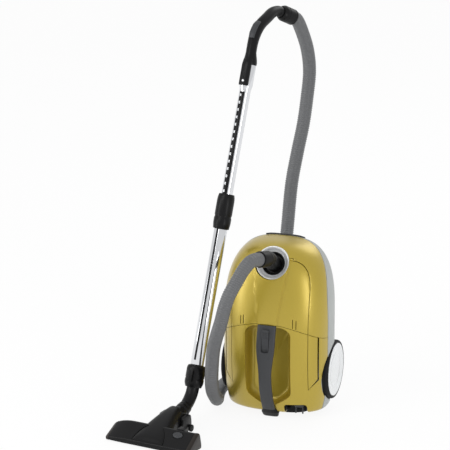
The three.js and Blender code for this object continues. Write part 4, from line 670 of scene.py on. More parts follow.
@dataclass(frozen=True)
class Finish:
    """One material of the cleaner."""

    slot: str
    color: tuple[float, float, float]
    roughness: float = 0.5
    metallic: float = 0.0
    coat: float = 0.0
    pattern: Pattern = Pattern.MOULDED
    grain: float = 900.0
    depth: float = 0.00003
    tone: float = 0.08
    spread: float = 0.08
    stretch: float = 1.0
    specular: float = 0.5
    coat_roughness: float = 0.06

    def material(self, groups: dict[str, NodeTree]) -> Material:
        """Builds the material.

        Args:
            groups: the shared node groups.

        Returns:
            The new material.
        """
        made = bpy.data.materials.new(self.slot)
        made.use_nodes = True
        tree = made.node_tree
        shader = tree.nodes["Principled BSDF"]
        shader.inputs["Metallic"].default_value = self.metallic
        shader.inputs["Specular IOR Level"].default_value = self.specular
        shader.inputs["Coat Weight"].default_value = self.coat
        shader.inputs["Coat Roughness"].default_value = self.coat_roughness
        place = add_node(tree, "ShaderNodeTexCoord").outputs["Object"]
        grain = add_node(tree, "ShaderNodeGroup", {"Grain Scale": self.grain,
                                                   "Stretch": self.stretch},
                         node_tree=groups["grain"])
        dark = tuple(c * (1 - self.tone) for c in self.color)
        light = tuple(min(1.0, c * (1 + self.tone)) for c in self.color)
        mix = add_node(tree, "ShaderNodeMix", {MIX_FIRST: (*dark, 1), MIX_SECOND: (*light, 1)},
                       data_type="RGBA")
        wire(tree, (place, grain.inputs["Position"]),
             (grain.outputs["Tone"], mix.inputs[MIX_FACTOR]))
        color, height = mix.outputs[MIX_RESULT], grain.outputs["Height"]
        if self.pattern is Pattern.FLAKE:
            flakes = add_node(tree, "ShaderNodeGroup", node_tree=groups["flakes"])
            sparkle = add_node(tree, "ShaderNodeMix", {MIX_FACTOR: FLAKE_SHARE},
                               data_type="RGBA", blend_type="MULTIPLY")
            wire(tree, (place, flakes.inputs["Position"]),
                 (color, sparkle.inputs[MIX_FIRST]),
                 (flakes.outputs["Flakes"], sparkle.inputs[MIX_SECOND]))
            color = sparkle.outputs[MIX_RESULT]
        elif self.pattern in (Pattern.FLEECE, Pattern.CELLS):
            feature = "F1" if self.pattern is Pattern.CELLS else "SMOOTH_F1"
            cells = add_node(tree, "ShaderNodeTexVoronoi", {"Scale": self.grain * 0.5},
                             feature=feature)
            wire(tree, (place, cells.inputs["Vector"]))
            height = cells.outputs["Distance"]
        elif self.pattern is Pattern.TURNED:
            rings = add_node(tree, "ShaderNodeTexWave", {"Scale": self.grain * 0.1},
                             bands_direction="X")
            wire(tree, (place, rings.inputs["Vector"]))
            height = rings.outputs["Fac"]
        rough = add_node(tree, "ShaderNodeMapRange", {
            "To Min": max(0.02, self.roughness * (1 - self.spread)),
            "To Max": min(1.0, self.roughness * (1 + self.spread))})
        bump = add_node(tree, "ShaderNodeBump", {"Strength": BUMP_STRENGTH,
                                                 "Distance": self.depth})
        wire(tree, (color, shader.inputs["Base Color"]),
             (grain.outputs["Height"], rough.inputs["Value"]),
             (rough.outputs["Result"], shader.inputs["Roughness"]),
             (height, bump.inputs["Height"]),
             (bump.outputs["Normal"], shader.inputs["Normal"]))
        return made


FINISHES = (
    Finish("cover_gold", (0.47, 0.345, 0.020), 0.36, 0.55, 0.9, Pattern.FLAKE, 700.0,
           0.000006, 0.03, 0.10, coat_roughness=0.30),
    Finish("base_grey", (0.40, 0.42, 0.41), 0.42, 0.0, 0.1, depth=0.00004, specular=0.35),
    Finish("trim_grey", (0.048, 0.050, 0.054), 0.46, depth=0.00006, grain=1200.0,
           specular=0.3),
    Finish("black_plastic", (0.006, 0.006, 0.0065), 0.34, depth=0.00004, grain=1300.0,
           tone=0.12, specular=0.18),
    Finish("rubber", (0.012, 0.012, 0.0125), 0.66, depth=0.00008, grain=700.0, tone=0.15,
           specular=0.2),
    Finish("silver_ring", (0.80, 0.81, 0.82), 0.30, 0.35, 0.3, Pattern.FLAKE, depth=0.00001),
    Finish("wheel_face", (0.80, 0.82, 0.83), 0.25, 0.0, 0.35, depth=0.00001, tone=0.03),
    Finish("chrome", (0.74, 0.75, 0.77), 0.09, 1.0, 0.0, Pattern.DRAWN, 500.0, 0.000006,
           0.03, 0.35, 0.04),
    Finish("steel", (0.45, 0.46, 0.47), 0.34, 1.0, 0.0, Pattern.DRAWN, 900.0, 0.00002,
           0.08, 0.25, 0.05),
    Finish("copper_winding", (0.42, 0.13, 0.045), 0.42, 0.9, 0.1, Pattern.TURNED, 900.0,
           0.0003),
    Finish("hose_grey", (0.135, 0.138, 0.143), 0.36, depth=0.00004, tone=0.08,
           specular=0.4),
    Finish("paper", (0.70, 0.63, 0.47), 0.88, 0.0, 0.0, Pattern.FLEECE, 900.0, 0.0003),
    Finish("foam", (0.10, 0.13, 0.16), 0.92, 0.0, 0.0, Pattern.CELLS, 900.0, 0.0006),
    Finish("cap_brown", (0.016, 0.012, 0.009), 0.30, depth=0.00002, specular=0.3),
)


class Paintbox:
    """All materials by slot name, and which slot each CAD node takes."""

    def __init__(self, frame: dict) -> None:
        """Builds every material once.

        Args:
            frame: the loaded frame.
        """
        groups = {"grain": grain_group(), "flakes": flake_group()}
        self.by_slot = {f.slot: f.material(groups) for f in FINISHES}
        self.slot_of = {part["node"]: part["material_slot"]
                        for part in frame["record"]["subparts"]}
        for node, obj in frame["nodes"].items():
            obj.data.materials.clear()
            obj.data.materials.append(self.by_slot[self.slot_of[node]])


@dataclass
class Workshop:
    """What every sub-assembly needs to place its pieces."""

    paint: Paintbox
    body_of: dict[str, str]
    counts: dict[str, int] = field(default_factory=dict)

    def place(self, obj: Object, *nodes: str, name: str = "", body: str = "",
              slot: str = "", bevel: float = 0.0, angle: float = 40.0) -> Object:
        """Finishes a piece and puts it in the place of its CAD nodes.

        Args:
            obj: the new mesh, in place.
            nodes: CAD nodes that it stands for.
            name: its name; the first node's name with _skin when empty.
            body: the body that it rides on; that of the first node when empty.
            slot: its material slot; that of the first node when empty.
            bevel: width in millimetres of a small rounding on its sharp edges.
            angle: edges sharper than this stay crisp, in degrees.

        Returns:
            The finished piece.
        """
        obj.name = name or f"{nodes[0]}_skin"
        obj.data.name = obj.name
        slot = slot or self.paint.slot_of[nodes[0]]
        body = body or self.body_of[nodes[0]]
        if bevel:
            edge = obj.modifiers.new("rounding", "BEVEL")
            edge.width = bevel * MM
            edge.segments = 2
            edge.limit_method = "ANGLE"
            edge.angle_limit = math.radians(angle)
            edge.harden_normals = False
            baked(obj)
        obj.data.materials.clear()
        obj.data.materials.append(self.paint.by_slot[slot])
        for polygon in obj.data.polygons:
            polygon.material_index = 0
        obj.data.shade_smooth()
        obj.data.set_sharp_from_angle(angle=math.radians(angle))
        if nodes:
            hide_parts(*nodes)
        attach(obj, body)
        self.counts[obj.name] = len(obj.data.polygons)
        LOG.info("%s: %d faces on %s", obj.name, len(obj.data.polygons), body)
        return obj


# ------------------------ machine body


@dataclass(frozen=True)
class BodyForm:
    """Sizes of the machine's body, in millimetres."""

    height: float = 464
    half_width: float = 145
    front: float = -107
    back: float = 94
    middle: float = 10
    nose_start: float = 250
    nose_tip_y: float = 46
    tail_bottom: float = 14
    tail_taper_height: float = 130
    tail_side_taper: float = 16
    tail_front_height: float = 180
    tail_front_taper: float = 36
    tail_edge: float = 10
    squareness: float = 2.5
    wall: float = 3
    points: int = 128

    def ring(self, z: float, inset: float) -> Ring:
        """Cross-section at a height, a given distance inside the outer skin.

        Args:
            z: height over the floor.
            inset: distance inside the skin.

        Returns:
            The points of the section.
        """
        top, bottom = self.height - inset, self.tail_bottom + inset
        nose = clamp01((z - self.nose_start) / (top - self.nose_start))
        side_tail = clamp01((self.tail_taper_height - z) / self.tail_taper_height)
        front_tail = clamp01((self.tail_front_height - z) / self.tail_front_height)
        edge = max(0.0, self.tail_edge - (z - bottom))
        tuck = self.tail_edge - math.sqrt(max(0.0, self.tail_edge ** 2 - edge ** 2))
        middle = self.middle + (self.nose_tip_y - self.middle) * nose ** 2
        half = ((self.half_width - inset) * (1 - nose ** 3) ** (1 / 3)
                - self.tail_side_taper * side_tail ** 2 - tuck)
        reach = (self.nose_tip_y - self.front - inset) * (1 - nose ** 1.5) ** 0.233
        front = self.nose_tip_y - reach + self.tail_front_taper * front_tail ** 2.2 + tuck
        deep = (self.back - self.nose_tip_y - inset) * math.sqrt(max(0.0, 1 - nose ** 3.5))
        back = self.nose_tip_y + deep - tuck
        return [Vector((x, middle + s * (middle - front if s < 0 else back - middle), z))
                for x, s in section(half, 1, self.points, self.squareness)]

    def solid(self, inset: float = 0.0) -> Object:
        """The whole body.

        Args:
            inset: distance inside the outer skin; below nought it lies outside.

        Returns:
            The solid.
        """
        bottom, top = self.tail_bottom + inset, self.height - inset
        heights = [bottom + self.tail_edge * t for t in (0, 0.06, 0.2, 0.4, 0.65, 1)]
        heights += [bottom + self.tail_edge + (self.nose_start - bottom - self.tail_edge) * t
                    for t in spaced(0, 1, 18)[1:]]
        heights += [self.nose_start + (top - self.nose_start) * (1 - (1 - t) ** 2.6)
                    for t in spaced(0, 1, 44)[1:-1]]
        heights.append(top - 0.004)
        return loft([self.ring(z, inset) for z in heights])


WHEEL_CENTRE = Vector((0, 34, 111))


@dataclass
class MachineShell:
    """Covers, lid, pedals, base shell and hand hollow."""

    shop: Workshop
    form: BodyForm = field(default_factory=BodyForm)
    parting_y: float = -26
    parting_nose_y: float = 52
    parting_gap: float = 2.6
    parting_bend: float = 300
    waist_height: float = 268
    waist_drop: float = 0.0024
    lid_half: float = 104
    lid_top: float = 432
    lid_corner_height: float = 82
    lid_corner_width: float = 64
    lid_ridge: tuple[Pair, ...] = ((1.75, 3), (3.5, 0))  # rise and spread of its steps
    ridge_top_half: float = 46
    ridge_low_half: float = 24
    slit_x: float = 71
    slit_gap: float = 8.6
    slit_size: Pair = (1.8, 24)
    hinge: Vector = spot(49, -51.5, 432)
    hinge_pin: float = 1.5
    knuckle: float = 3
    knuckle_room: float = 4
    inlet: Vector = spot(0, -57, 420)
    inlet_tilt: float = 28
    inlet_radius: float = 45
    pedal_inner: Pair = (104, 86)
    pedal_outer: Pair = (125, 112)
    pedal_groove: float = 2
    post_x: float = 114.5
    post_y: float = -74
    post_z: float = 178
    post_radius: float = 5
    post_room: float = 13.5
    hollow_wall: float = 3
    hollow_depth: float = 44
    hollow_half: float = 62
    hollow_low: float = 36
    hollow_high: float = 262
    bay: Sequence[float] = (69, 16, 58, 52, 10)
    grille: Sequence[float] = (0, 84, 96.6, 62.6, 9)
    plinth_height: float = 14
    plinth_section: float = 48  # height of the body's section that it follows
    plinth_inset: float = 45
    bulkhead: Pair = (169, 172)
    motor: Vector = spot(-52, 14, 0)
    motor_bore: float = 31
    axle_bore: float = 6.3
    cover_room: float = 83.3
    pedal_room: float = 88
    well_bore: float = 80
    well_outer: float = 83
    well_floor: Pair = (113, 116)
    well_rim: float = 132
    lip_reach: float = 9
    axle_boss: Pair = (14, 100)  # radius and inner end
    castor: Vector = spot(0, 0, 372)
    castor_cup: Pair = (33.5, 31)  # outside and bore
    castor_floor: Pair = (75.5, 78)
    castor_post: Pair = (12, 7.3)  # outside and bore

    def __post_init__(self) -> None:
        """Works out the inlet's direction."""
        tilt = math.radians(self.inlet_tilt)
        self.inlet_aim = Vector((0, -math.cos(tilt), math.sin(tilt)))

    def waist(self, x: float) -> float:
        """Height of the arched waist seam."""
        return self.waist_height - self.waist_drop * x * x

    def cover_side(self, shift: float) -> Object:
        """Everything on the lid side of the seam between covers and base.

        Args:
            shift: how far the side is moved past the middle of the seam.

        Returns:
            The solid.
        """
        bend = bezier((self.parting_y + shift, self.parting_bend),
                      (self.parting_y + shift, (self.parting_bend + self.form.height) / 2),
                      (self.parting_nose_y + shift, self.form.height + self.form.wall), 20)
        points = [(-FAR, 0), (self.parting_y + shift, 0), *bend,
                  (self.parting_nose_y + shift, FAR + self.form.height),
                  (-FAR, FAR + self.form.height)]
        return prism_x(points, -FAR, FAR)

    def below_waist(self, shift: float) -> Object:
        """Everything below the waist seam."""
        arch = [(x, self.waist(x) + shift) for x in
                spaced(self.form.half_width * 1.1, -self.form.half_width * 1.1, 60)]
        edge = arch[0][0]
        return prism_y([*arch, (-edge, -FAR), (edge, -FAR)], -FAR, FAR)

    def lid_column(self, grow: float) -> Object:
        """Column through the lid or, grown, through its opening.

        Args:
            grow: how far it reaches past the seam's middle.

        Returns:
            The solid.
        """
        half, top = self.lid_half + grow, self.lid_top + grow
        right = bezier((half, top - self.lid_corner_height), (half, top),
                       (half - self.lid_corner_width, top), 24)
        left = [(-x, z) for x, z in reversed(right)]
        arch = [(x, self.waist(x) - grow) for x in spaced(-half, half, 48)]
        return prism_y([*arch, *right, *left], -FAR, self.form.nose_tip_y)

    def pedal_column(self, side: int, grow: float, groove: float = 0.0) -> Object:
        """Column through a side pedal or, grown, through its opening.

        Args:
            side: 1 for the right pedal, -1 for the left one.
            grow: how far it reaches past the seam's middle.
            groove: how much further it reaches on its outer side.

        Returns:
            The solid.
        """
        (inner, low_inner), (outer, low_outer) = self.pedal_inner, self.pedal_outer
        inner, outer, drop_by = inner - grow, outer + grow + groove, grow * 1.4
        points = [(inner, low_inner - drop_by), (outer, low_outer - drop_by),
                  (outer, self.waist(outer) + grow), (inner, self.waist(inner) + grow)]
        return prism_y([(side * x, z) for x, z in points], -FAR, 0)

    def hollow(self, grow: float) -> Object:
        """Hand hollow under the carry handle.

        Args:
            grow: thickness to add, for the hollow's wall.

        Returns:
            The solid.
        """
        rings = []
        for depth, inset in [(-40, 0), (0, 0), (0.3, 0.8), (0.55, 3), (0.72, 6), (0.85, 9.5),
                             (0.94, 13), (1, 18)]:
            half = self.hollow_half + grow - inset
            low = self.hollow_low - grow + inset
            high = self.hollow_high + min(grow, 1.5) - inset
            corners = [(-half, low + 30, 14), (-18, low, 16), (18, low, 16),
                       (half, low + 30, 14), (half, high - 16, 9), (42, high, 16),
                       (-42, high, 16), (-half, high - 16, 9)]
            deep = depth if depth < 0 else (self.hollow_depth + grow) * depth
            y = self.form.front + deep
            rings.append([Vector((u, y, v)) for u, v in rounded_outline(corners, 6)])
        return loft(rings)

    def ridge(self, rise: float, spread: float) -> Object:
        """Raised middle band of the lid.

        Args:
            rise: its height over the lid's skin.
            spread: how much wider it is than the top of the ridge.

        Returns:
            The solid.
        """
        wide, narrow = self.ridge_top_half + spread, self.ridge_low_half + spread
        top = FAR + self.form.height
        outline = [(-narrow, 0), (narrow, 0), (narrow, self.waist_height),
                   (wide, self.inlet.z), (wide, top), (-wide, top), (-wide, self.inlet.z),
                   (-narrow, self.waist_height)]
        band = combine(Op.CUT, self.form.solid(-rise), self.inner, keep=True)
        return combine(Op.COMMON, band, prism_y(outline, -FAR, 0))

    def wheel_room(self, side: int, radius: float, start: float, sides: int = 96) -> Object:
        """Round space in the body's side, from a distance outwards."""
        return bar(radius, start, FAR, sides, X_AXIS * side, WHEEL_CENTRE)

    def inlet_bar(self, radius: float) -> Object:
        """Round bar on the inlet's axis."""
        return bar(radius, -60, 90, 72, self.inlet_aim, self.inlet)

    def on_hinge(self, side: int, radius: float, start: float, end: float, sides: int = 24
                 ) -> Object:
        """Round bar on the hinge pin's line, from the hinge's middle outwards.

        Args:
            side: 1 for the right hinge, -1 for the left one.
            radius: the bar's radius.
            start: where it begins.
            end: where it ends.
            sides: number of steps round it.

        Returns:
            The bar.
        """
        pin = Vector((side * self.hinge.x, self.hinge.y, self.hinge.z))
        return bar(radius, start, end, sides, X_AXIS * side, pin)

    def build(self) -> None:
        """Makes the covers and the base shell."""
        self.outer = self.form.solid()
        self.inner = self.form.solid(self.form.wall)
        self.skin = combine(Op.CUT, copy_of(self.outer), self.inner, keep=True)
        self.covers = combine(Op.COMMON, copy_of(self.skin),
                              self.cover_side(-self.parting_gap / 2))
        self.build_lid()
        self.build_hood()
        self.build_rear_cover()
        for side, node in ((1, "power_pedal"), (-1, "rewind_pedal")):
            self.build_pedal(side, node)
        self.build_base()
        drop(self.outer, self.inner, self.skin, self.covers)

    def build_lid(self) -> None:
        """Lid with its ridge, the inlet's cut-out, the slits and the hinge knuckles."""
        column = self.lid_column(-SEAM / 2)
        lid = combine(Op.COMMON, copy_of(self.covers), column, keep=True)
        for rise, spread in self.lid_ridge:
            band = combine(Op.COMMON, self.ridge(rise, spread), column, keep=True)
            combine(Op.JOIN, lid, band)
        drop(column)
        combine(Op.CUT, lid, self.inlet_bar(self.inlet_radius + SEAM))
        width, length = self.slit_size
        for side in (-1, 1):
            combine(Op.CUT, lid, self.on_hinge(side, self.knuckle_room, 5.5, 13))
            combine(Op.JOIN, lid, self.on_hinge(side, self.knuckle, -5, 5))
            combine(Op.CUT, lid, self.on_hinge(side, self.hinge_pin, -6, 13, 16))
            for step in (-0.5, 0.5):
                x = side * (self.slit_x + step * self.slit_gap)
                middle = self.waist(x) + 3 + length / 2
                slit = prism_y(rounded_rectangle(x, middle, width, length, width / 2), -FAR, 0)
                combine(Op.CUT, lid, slit)
        self.shop.place(lid, "bag_lid", bevel=0.7, angle=30)

    def build_hood(self) -> None:
        """Hood over the nose, round the lid."""
        hood = combine(Op.CUT, copy_of(self.covers), self.below_waist(SEAM / 2),
                       self.lid_column(SEAM / 2), self.inlet_bar(self.inlet_radius + FIT))
        for side in (-1, 1):
            combine(Op.CUT, hood, self.on_hinge(side, self.knuckle_room, -6, 5.5))
            combine(Op.JOIN, hood, self.on_hinge(side, self.knuckle, 6, 12))
            combine(Op.CUT, hood, self.on_hinge(side, self.hinge_pin, -6, 12, 16))
        self.shop.place(hood, "hood", bevel=0.7, angle=30)

    def build_rear_cover(self) -> None:
        """Lower cover with the hand hollow and the cord bay's opening."""
        cover = combine(Op.COMMON, copy_of(self.covers), self.below_waist(-SEAM / 2))
        combine(Op.CUT, cover, self.pedal_column(1, SEAM / 2, self.pedal_groove),
                self.pedal_column(-1, SEAM / 2, self.pedal_groove))
        pocket = combine(Op.COMMON, self.hollow(self.hollow_wall), self.outer, keep=True)
        combine(Op.COMMON, pocket, self.below_waist(-SEAM / 2), self.cover_side(-SEAM / 2))
        combine(Op.JOIN, cover, pocket)
        combine(Op.CUT, cover, self.hollow(0), handle_form(FIT))
        for side in (-1, 1):
            combine(Op.CUT, cover, self.wheel_room(side, self.cover_room, self.well_floor[1]))
        combine(Op.CUT, cover, self.bay_opening())
        self.shop.place(cover, "rear_cover", bevel=0.7, angle=30)

    def bay_opening(self) -> Object:
        """Opening of the plug's bay."""
        return prism_y(rounded_rectangle(*self.bay), -FAR, self.parting_y - 8)

    def build_pedal(self, side: int, node: str) -> None:
        """Side pedal with its post.

        Args:
            side: 1 for the right one, -1 for the left one.
            node: its CAD node.
        """
        pedal = combine(Op.COMMON, copy_of(self.covers), self.pedal_column(side, -SEAM / 2))
        combine(Op.CUT, pedal, self.wheel_room(side, self.pedal_room, 112))
        post = bar(self.post_radius, 0, 46, 24, Y_AXIS,
                   Vector((side * self.post_x, self.post_y, self.post_z)))
        combine(Op.JOIN, pedal, combine(Op.COMMON, post, self.outer, keep=True))
        self.shop.place(pedal, node, bevel=0.6, angle=30)

    def build_base(self) -> None:
        """Grey base shell with its bulkhead, wheel wells and castor cup, on the plinth."""
        opening = self.cover_side(self.parting_gap / 2)
        base = combine(Op.CUT, copy_of(self.skin), opening, keep=True)
        self.build_plinth()
        combine(Op.JOIN, base, self.bulkhead_plate())
        heights = (24, *spaced(60, 250, 8))
        limit = loft([self.form.ring(z, -self.lip_reach) for z in heights])
        for side in (-1, 1):
            combine(Op.JOIN, base, self.well(side, limit))
        drop(limit)
        for side in (-1, 1):
            combine(Op.CUT, base, self.wheel_room(side, self.well_bore, self.well_floor[1]),
                    self.wheel_room(side, self.axle_bore, 0, 32))
        self.add_castor_cup(base)
        grille = prism_y(rounded_rectangle(*self.grille), self.form.nose_tip_y, FAR)
        combine(Op.CUT, base, grille, self.bay_opening(),
                self.inlet_bar(self.inlet_radius + FIT))
        drop(opening)
        self.shop.place(base, "base_chassis", bevel=0.6, angle=30)

    def build_plinth(self) -> None:
        """Black plinth between the machine and the floor."""
        outline = self.form.ring(self.plinth_section, self.plinth_inset)
        rings = [[Vector((p.x, p.y, z)) for p in outline] for z in (0, self.plinth_height)]
        self.shop.place(loft(rings), name="plinth", body="machine",
                        slot="black_plastic", bevel=0.6, angle=32)

    def bulkhead_plate(self) -> Object:
        """Plate across the base, with the motor's bore and room for the pedals' posts."""
        low, high = self.bulkhead
        inset = self.form.wall + FIT
        plate = combine(Op.COMMON, box((-FAR, -FAR, low), (FAR, FAR, high)),
                        self.form.solid(inset))
        combine(Op.CUT, plate, self.hollow(inset),
                bar(self.motor_bore, 0, FAR, 48, Z_AXIS, self.motor))
        for side in (-1, 1):
            room = box((side * self.post_x - self.post_room, -FAR, 0),
                       (side * self.post_x + self.post_room, self.parting_y - 6, FAR))
            combine(Op.CUT, plate, room)
        return plate

    def add_castor_cup(self, base: Object) -> None:
        """Joins the castor's cup and its bored post to the base."""
        outside, bore = self.castor_cup
        under, floor = self.castor_floor
        post, pin = self.castor_post
        cup = combine(Op.COMMON, bar(outside, under, FAR, 64, Y_AXIS, self.castor), self.outer,
                      keep=True)
        combine(Op.JOIN, base, cup)
        combine(Op.CUT, base, bar(bore, floor, FAR, 64, Y_AXIS, self.castor))
        combine(Op.JOIN, base, bar(post, 56, floor, 32, Y_AXIS, self.castor))
        combine(Op.CUT, base, bar(pin, 59, FAR, 32, Y_AXIS, self.castor))

    def well(self, side: int, limit: Object) -> Object:
        """Wheel well with its lip.

        Args:
            side: 1 for the right one, -1 for the left one.
            limit: form that the lip stays inside; it is kept.

        Returns:
            The well.
        """
        axis = X_AXIS * side
        bore, outer, top = self.well_bore, self.well_outer, self.well_rim
        under, floor = self.well_floor
        ring = revolve([(bore, under), (outer, under), (outer, top - 1), (outer - 1, top),
                        (bore + 0.6, top), (bore, top - 0.5), (bore, under)], 128, axis,
                       WHEEL_CENTRE)
        combine(Op.JOIN, ring, bar(outer, under, floor, 128, axis, WHEEL_CENTRE))
        combine(Op.COMMON, ring, limit, keep=True)
        boss, start = self.axle_boss
        return combine(Op.JOIN, ring, bar(boss, start, floor, 32, axis, WHEEL_CENTRE))


# ------------------------ carry handle and inlet

HANDLE_POINTS = [(-107, 265), (-117, 228), (-124, 168), (-121, 108), (-105, 60), (-85, 24)]
HANDLE_HALF = 25
HANDLE_NARROWING = 8
HANDLE_THICK_HALF = 6.5
HANDLE_SQUARENESS = 3.2


def handle_form(grow: float = 0.0) -> Object:
    """Carry handle, or the room that it needs.

    Args:
        grow: how far it reaches past the real handle.

    Returns:
        The solid.
    """
    line = catmull([Vector((0, y, z)) for y, z in HANDLE_POINTS])
    steps = 48
    frames = frames_along(along(line, spaced(0, line_length(line), steps)), X_AXIS)
    rings = []
    for i, frame in enumerate(frames):
        taper = smoothstep(i / steps, 0.2, 0.55)
        half = HANDLE_HALF - HANDLE_NARROWING * taper + grow
        outline = section(half, HANDLE_THICK_HALF + grow, 48, HANDLE_SQUARENESS)
        rings.append(ring_at(frame, outline))
    return loft(rings)


@dataclass
class CarryHandle:
    """Carry handle with the lid latch in its slot."""

    shop: Workshop
    slot_y: float = -121
    slot_z: float = 228
    slot_width: float = 21
    slot_length: float = 64
    foot: float = 27  # height of the handle's cut lower end
    grooves: int = 5
    groove_pitch: float = 3.6
    groove_radius: float = 1.1

    def slot_prism(self, grow: float, depth: float) -> Object:
        """Prism of the latch's slot."""
        outline = rounded_rectangle(0, self.slot_z, self.slot_width + 2 * grow,
                                    self.slot_length + 2 * grow, 6)
        return prism_y(outline, -FAR, self.slot_y + depth)

    def build(self) -> None:
        """Makes the handle and the latch."""
        y, z = self.slot_y, self.slot_z
        handle = combine(Op.CUT, handle_form(), self.slot_prism(0, 0),
                         box((-5, y - 2, z - 26), (5, y + 30, z + 26)),
                         box((-FAR, -FAR, -FAR), (FAR, FAR, self.foot)))
        self.shop.place(handle, "carry_handle", bevel=0.8, angle=34)
        thumb = combine(Op.COMMON, self.slot_prism(-SEAM, -1),
                        box((-FAR, y - 4, z - 24), (FAR, 0, z + 30)))
        for i in range(self.grooves):
            at = Vector((0, y - 4.3, z + 8 + self.groove_pitch * i))
            combine(Op.CUT, thumb, bar(self.groove_radius, -6, 6, 16, X_AXIS, at))
        stem = box((-4, y - 2, z - 14), (4, y + 9, z + 14))
        self.shop.place(combine(Op.JOIN, thumb, stem), "lid_latch", bevel=0.5, angle=34)


HOSE_START = Vector((-4, -110, 447))
HOSE_AIM = Vector((-0.28, -0.93, 0.24)).normalized()
CUFF_START = Vector((-95.6, 315, 993))
CUFF_AIM = Vector((0.466, 0.76, -0.452)).normalized()
HOSE_INSERT = 30
CUFF_LENGTH = 48
HOSE_ROUTE = [
    (-24, -172, 458), (-36, -194, 442), (-50, -212, 412), (-63, -226, 384), (-74, -231, 351),
    (-86, -226, 308), (-116, -195, 224), (-129, -172, 159), (-134, -160, 118),
    (-139, -138, 80), (-142, -103, 48), (-151, -62, 27), (-161, -28, 19.2), (-170, 12, 18.9),
    (-174, 60, 18.9), (-168, 115, 19.4), (-148, 165, 35), (-125, 205, 80), (-100, 238, 160),
    (-80, 265, 250), (-72, 285, 330), (-71, 305, 400), (-73, 350, 513), (-68, 385, 590),
    (-61, 415, 662), (-57, 434, 730), (-53, 442, 800), (-55, 430, 860), (-61, 400, 918)]


@dataclass
class Inlet:
    """Silver inlet ring, the elbow in it and the hose's turning collar."""

    shop: Workshop
    shell: MachineShell
    rim: float = 5
    socket_depth: float = 34
    elbow_radius: float = 20
    bore: float = 13.5
    spigot: float = 16.6
    spigot_length: float = 12
    collar_radius: float = 21.5

    def build(self) -> None:
        """Makes the ring, the elbow and the collar."""
        self.build_ring()
        self.build_elbow()
        self.build_collar()

    def build_ring(self) -> None:
        """Silver ring with its bright lip."""
        outer, rim, deep = self.shell.inlet_radius, self.rim, self.socket_depth
        ring = revolve([(31, -deep), (33.5, -deep), (33.5, -12), (outer, -8), (outer, rim - 2),
                        (outer - 0.6, rim - 0.7), (outer - 1.9, rim), (outer - 3.6, rim - 0.3),
                        (outer - 7, 2.2), (37, 0.2), (34, -2), (32.4, -3), (31.4, -3.4),
                        (31, -4), (31, -deep)], 144, self.shell.inlet_aim, self.shell.inlet)
        self.shop.place(ring, "inlet_ring")

    def build_elbow(self) -> None:
        """Elbow from the inlet ring to its spigot, with the rim that fills the ring."""
        aim, centre = self.shell.inlet_aim, self.shell.inlet
        path = [centre + aim * d for d in (-self.socket_depth, -10, 12)]
        path += [HOSE_START + HOSE_AIM * d for d in (-16, -8, 0, 10, HOSE_INSERT)]
        line = catmull(path)
        end = line_length(line) - HOSE_INSERT - RUN
        shoulder = end - self.spigot_length
        outside = [(d, self.elbow_radius) for d in spaced(0, shoulder - 0.6, 40)]
        outside += [(shoulder - 0.2, 19.8), (shoulder, 19.4), (shoulder + 0.1, self.spigot),
                    (end - 0.6, self.spigot), (end, self.spigot - 0.6)]
        stations = [(distance, radius, self.bore) for distance, radius in outside]
        elbow = hollow_sweep(line, stations, 64, X_AXIS)
        rim = revolve([(17, -33), (30.3, -33), (30.3, -4.6), (29.8, -3.4), (28.6, -2.6),
                       (27, -3.6), (26, -8), (25.2, -11), (23.7, -14), (17, -14),
                       (17, -33)], 96, aim, centre)
        self.shop.place(combine(Op.JOIN, elbow, rim), "hose_elbow")

    def build_collar(self) -> None:
        """Collar with its groove, which turns on the spigot and holds the hose."""
        seat, sleeve, n, r = self.spigot + 0.6, 18.4, HOSE_INSERT, self.collar_radius
        start = -12.6
        collar = revolve([(seat, start), (r - 1.4, start), (20.6, -12.3), (r, -10.4), (r, -4),
                          (21.1, -3.6), (21.1, -2.6), (r, -2.2), (r, n - 3), (21.2, n - 1.2),
                          (20.4, n), (sleeve, n), (sleeve, -0.5), (seat, -0.5),
                          (seat, start)], 96, HOSE_AIM, HOSE_START)
        self.shop.place(collar, "hose_collar")


@dataclass
class Wheels:
    """Both large wheels: tyre, hub and white disc."""

    shop: Workshop
    radius: float = 78
    width: float = 30
    outer_x: float = 148
    sides: int = 144
    grooves: int = 4
    groove_pitch: float = 4
    groove_depth: float = 0.8

    def build(self) -> None:
        """Makes the wheel pieces of both sides."""
        centre = WHEEL_CENTRE
        r, x, back = self.radius, self.outer_x, self.outer_x - self.width
        bottom = r - self.groove_depth
        for side, name in SIDES:
            axis = X_AXIS * side
            tread = []
            for i in range(self.grooves):
                at = back + 8 + self.groove_pitch * i
                tread += [(r, at), (bottom, at + 0.3), (bottom, at + 0.9), (r, at + 1.2)]
            tyre = revolve([(r - 17, back), (r - 4, back), (r - 1.4, back + 1.4), (r, back + 4),
                            *tread, (r, x - 6), (r - 0.8, x - 3.4), (r - 2.4, x - 1.4),
                            (r - 4.4, x - 0.6), (r - 6.6, x - 0.9), (r - 7.5, x - 1.8),
                            (r - 7.5, x - 4), (r - 17, x - 4), (r - 17, back)],
                           self.sides, axis, centre)
            self.shop.place(tyre, f"tyre_{name}")
            rim, seat, face = r - 7.8, r - 23, x - 3.4
            disc = revolve([(0, face - 4), (seat - 4, face - 0.2), (rim, face), (rim, x - 1.7),
                            (rim - 0.5, x - 0.7), (rim - 2, x - 0.1), (rim - 4.5, x - 0.2),
                            (rim - 6, x - 0.9), (rim - 10, x - 1.1), (seat - 10, x - 1.6),
                            (seat - 11.5, x - 2.4), (seat - 13, x - 1.9), (20, x - 2.2),
                            (0, x - 2.4)], self.sides, axis, centre)
            self.shop.place(disc, f"wheel_disc_{name}")


# ------------------------ hose


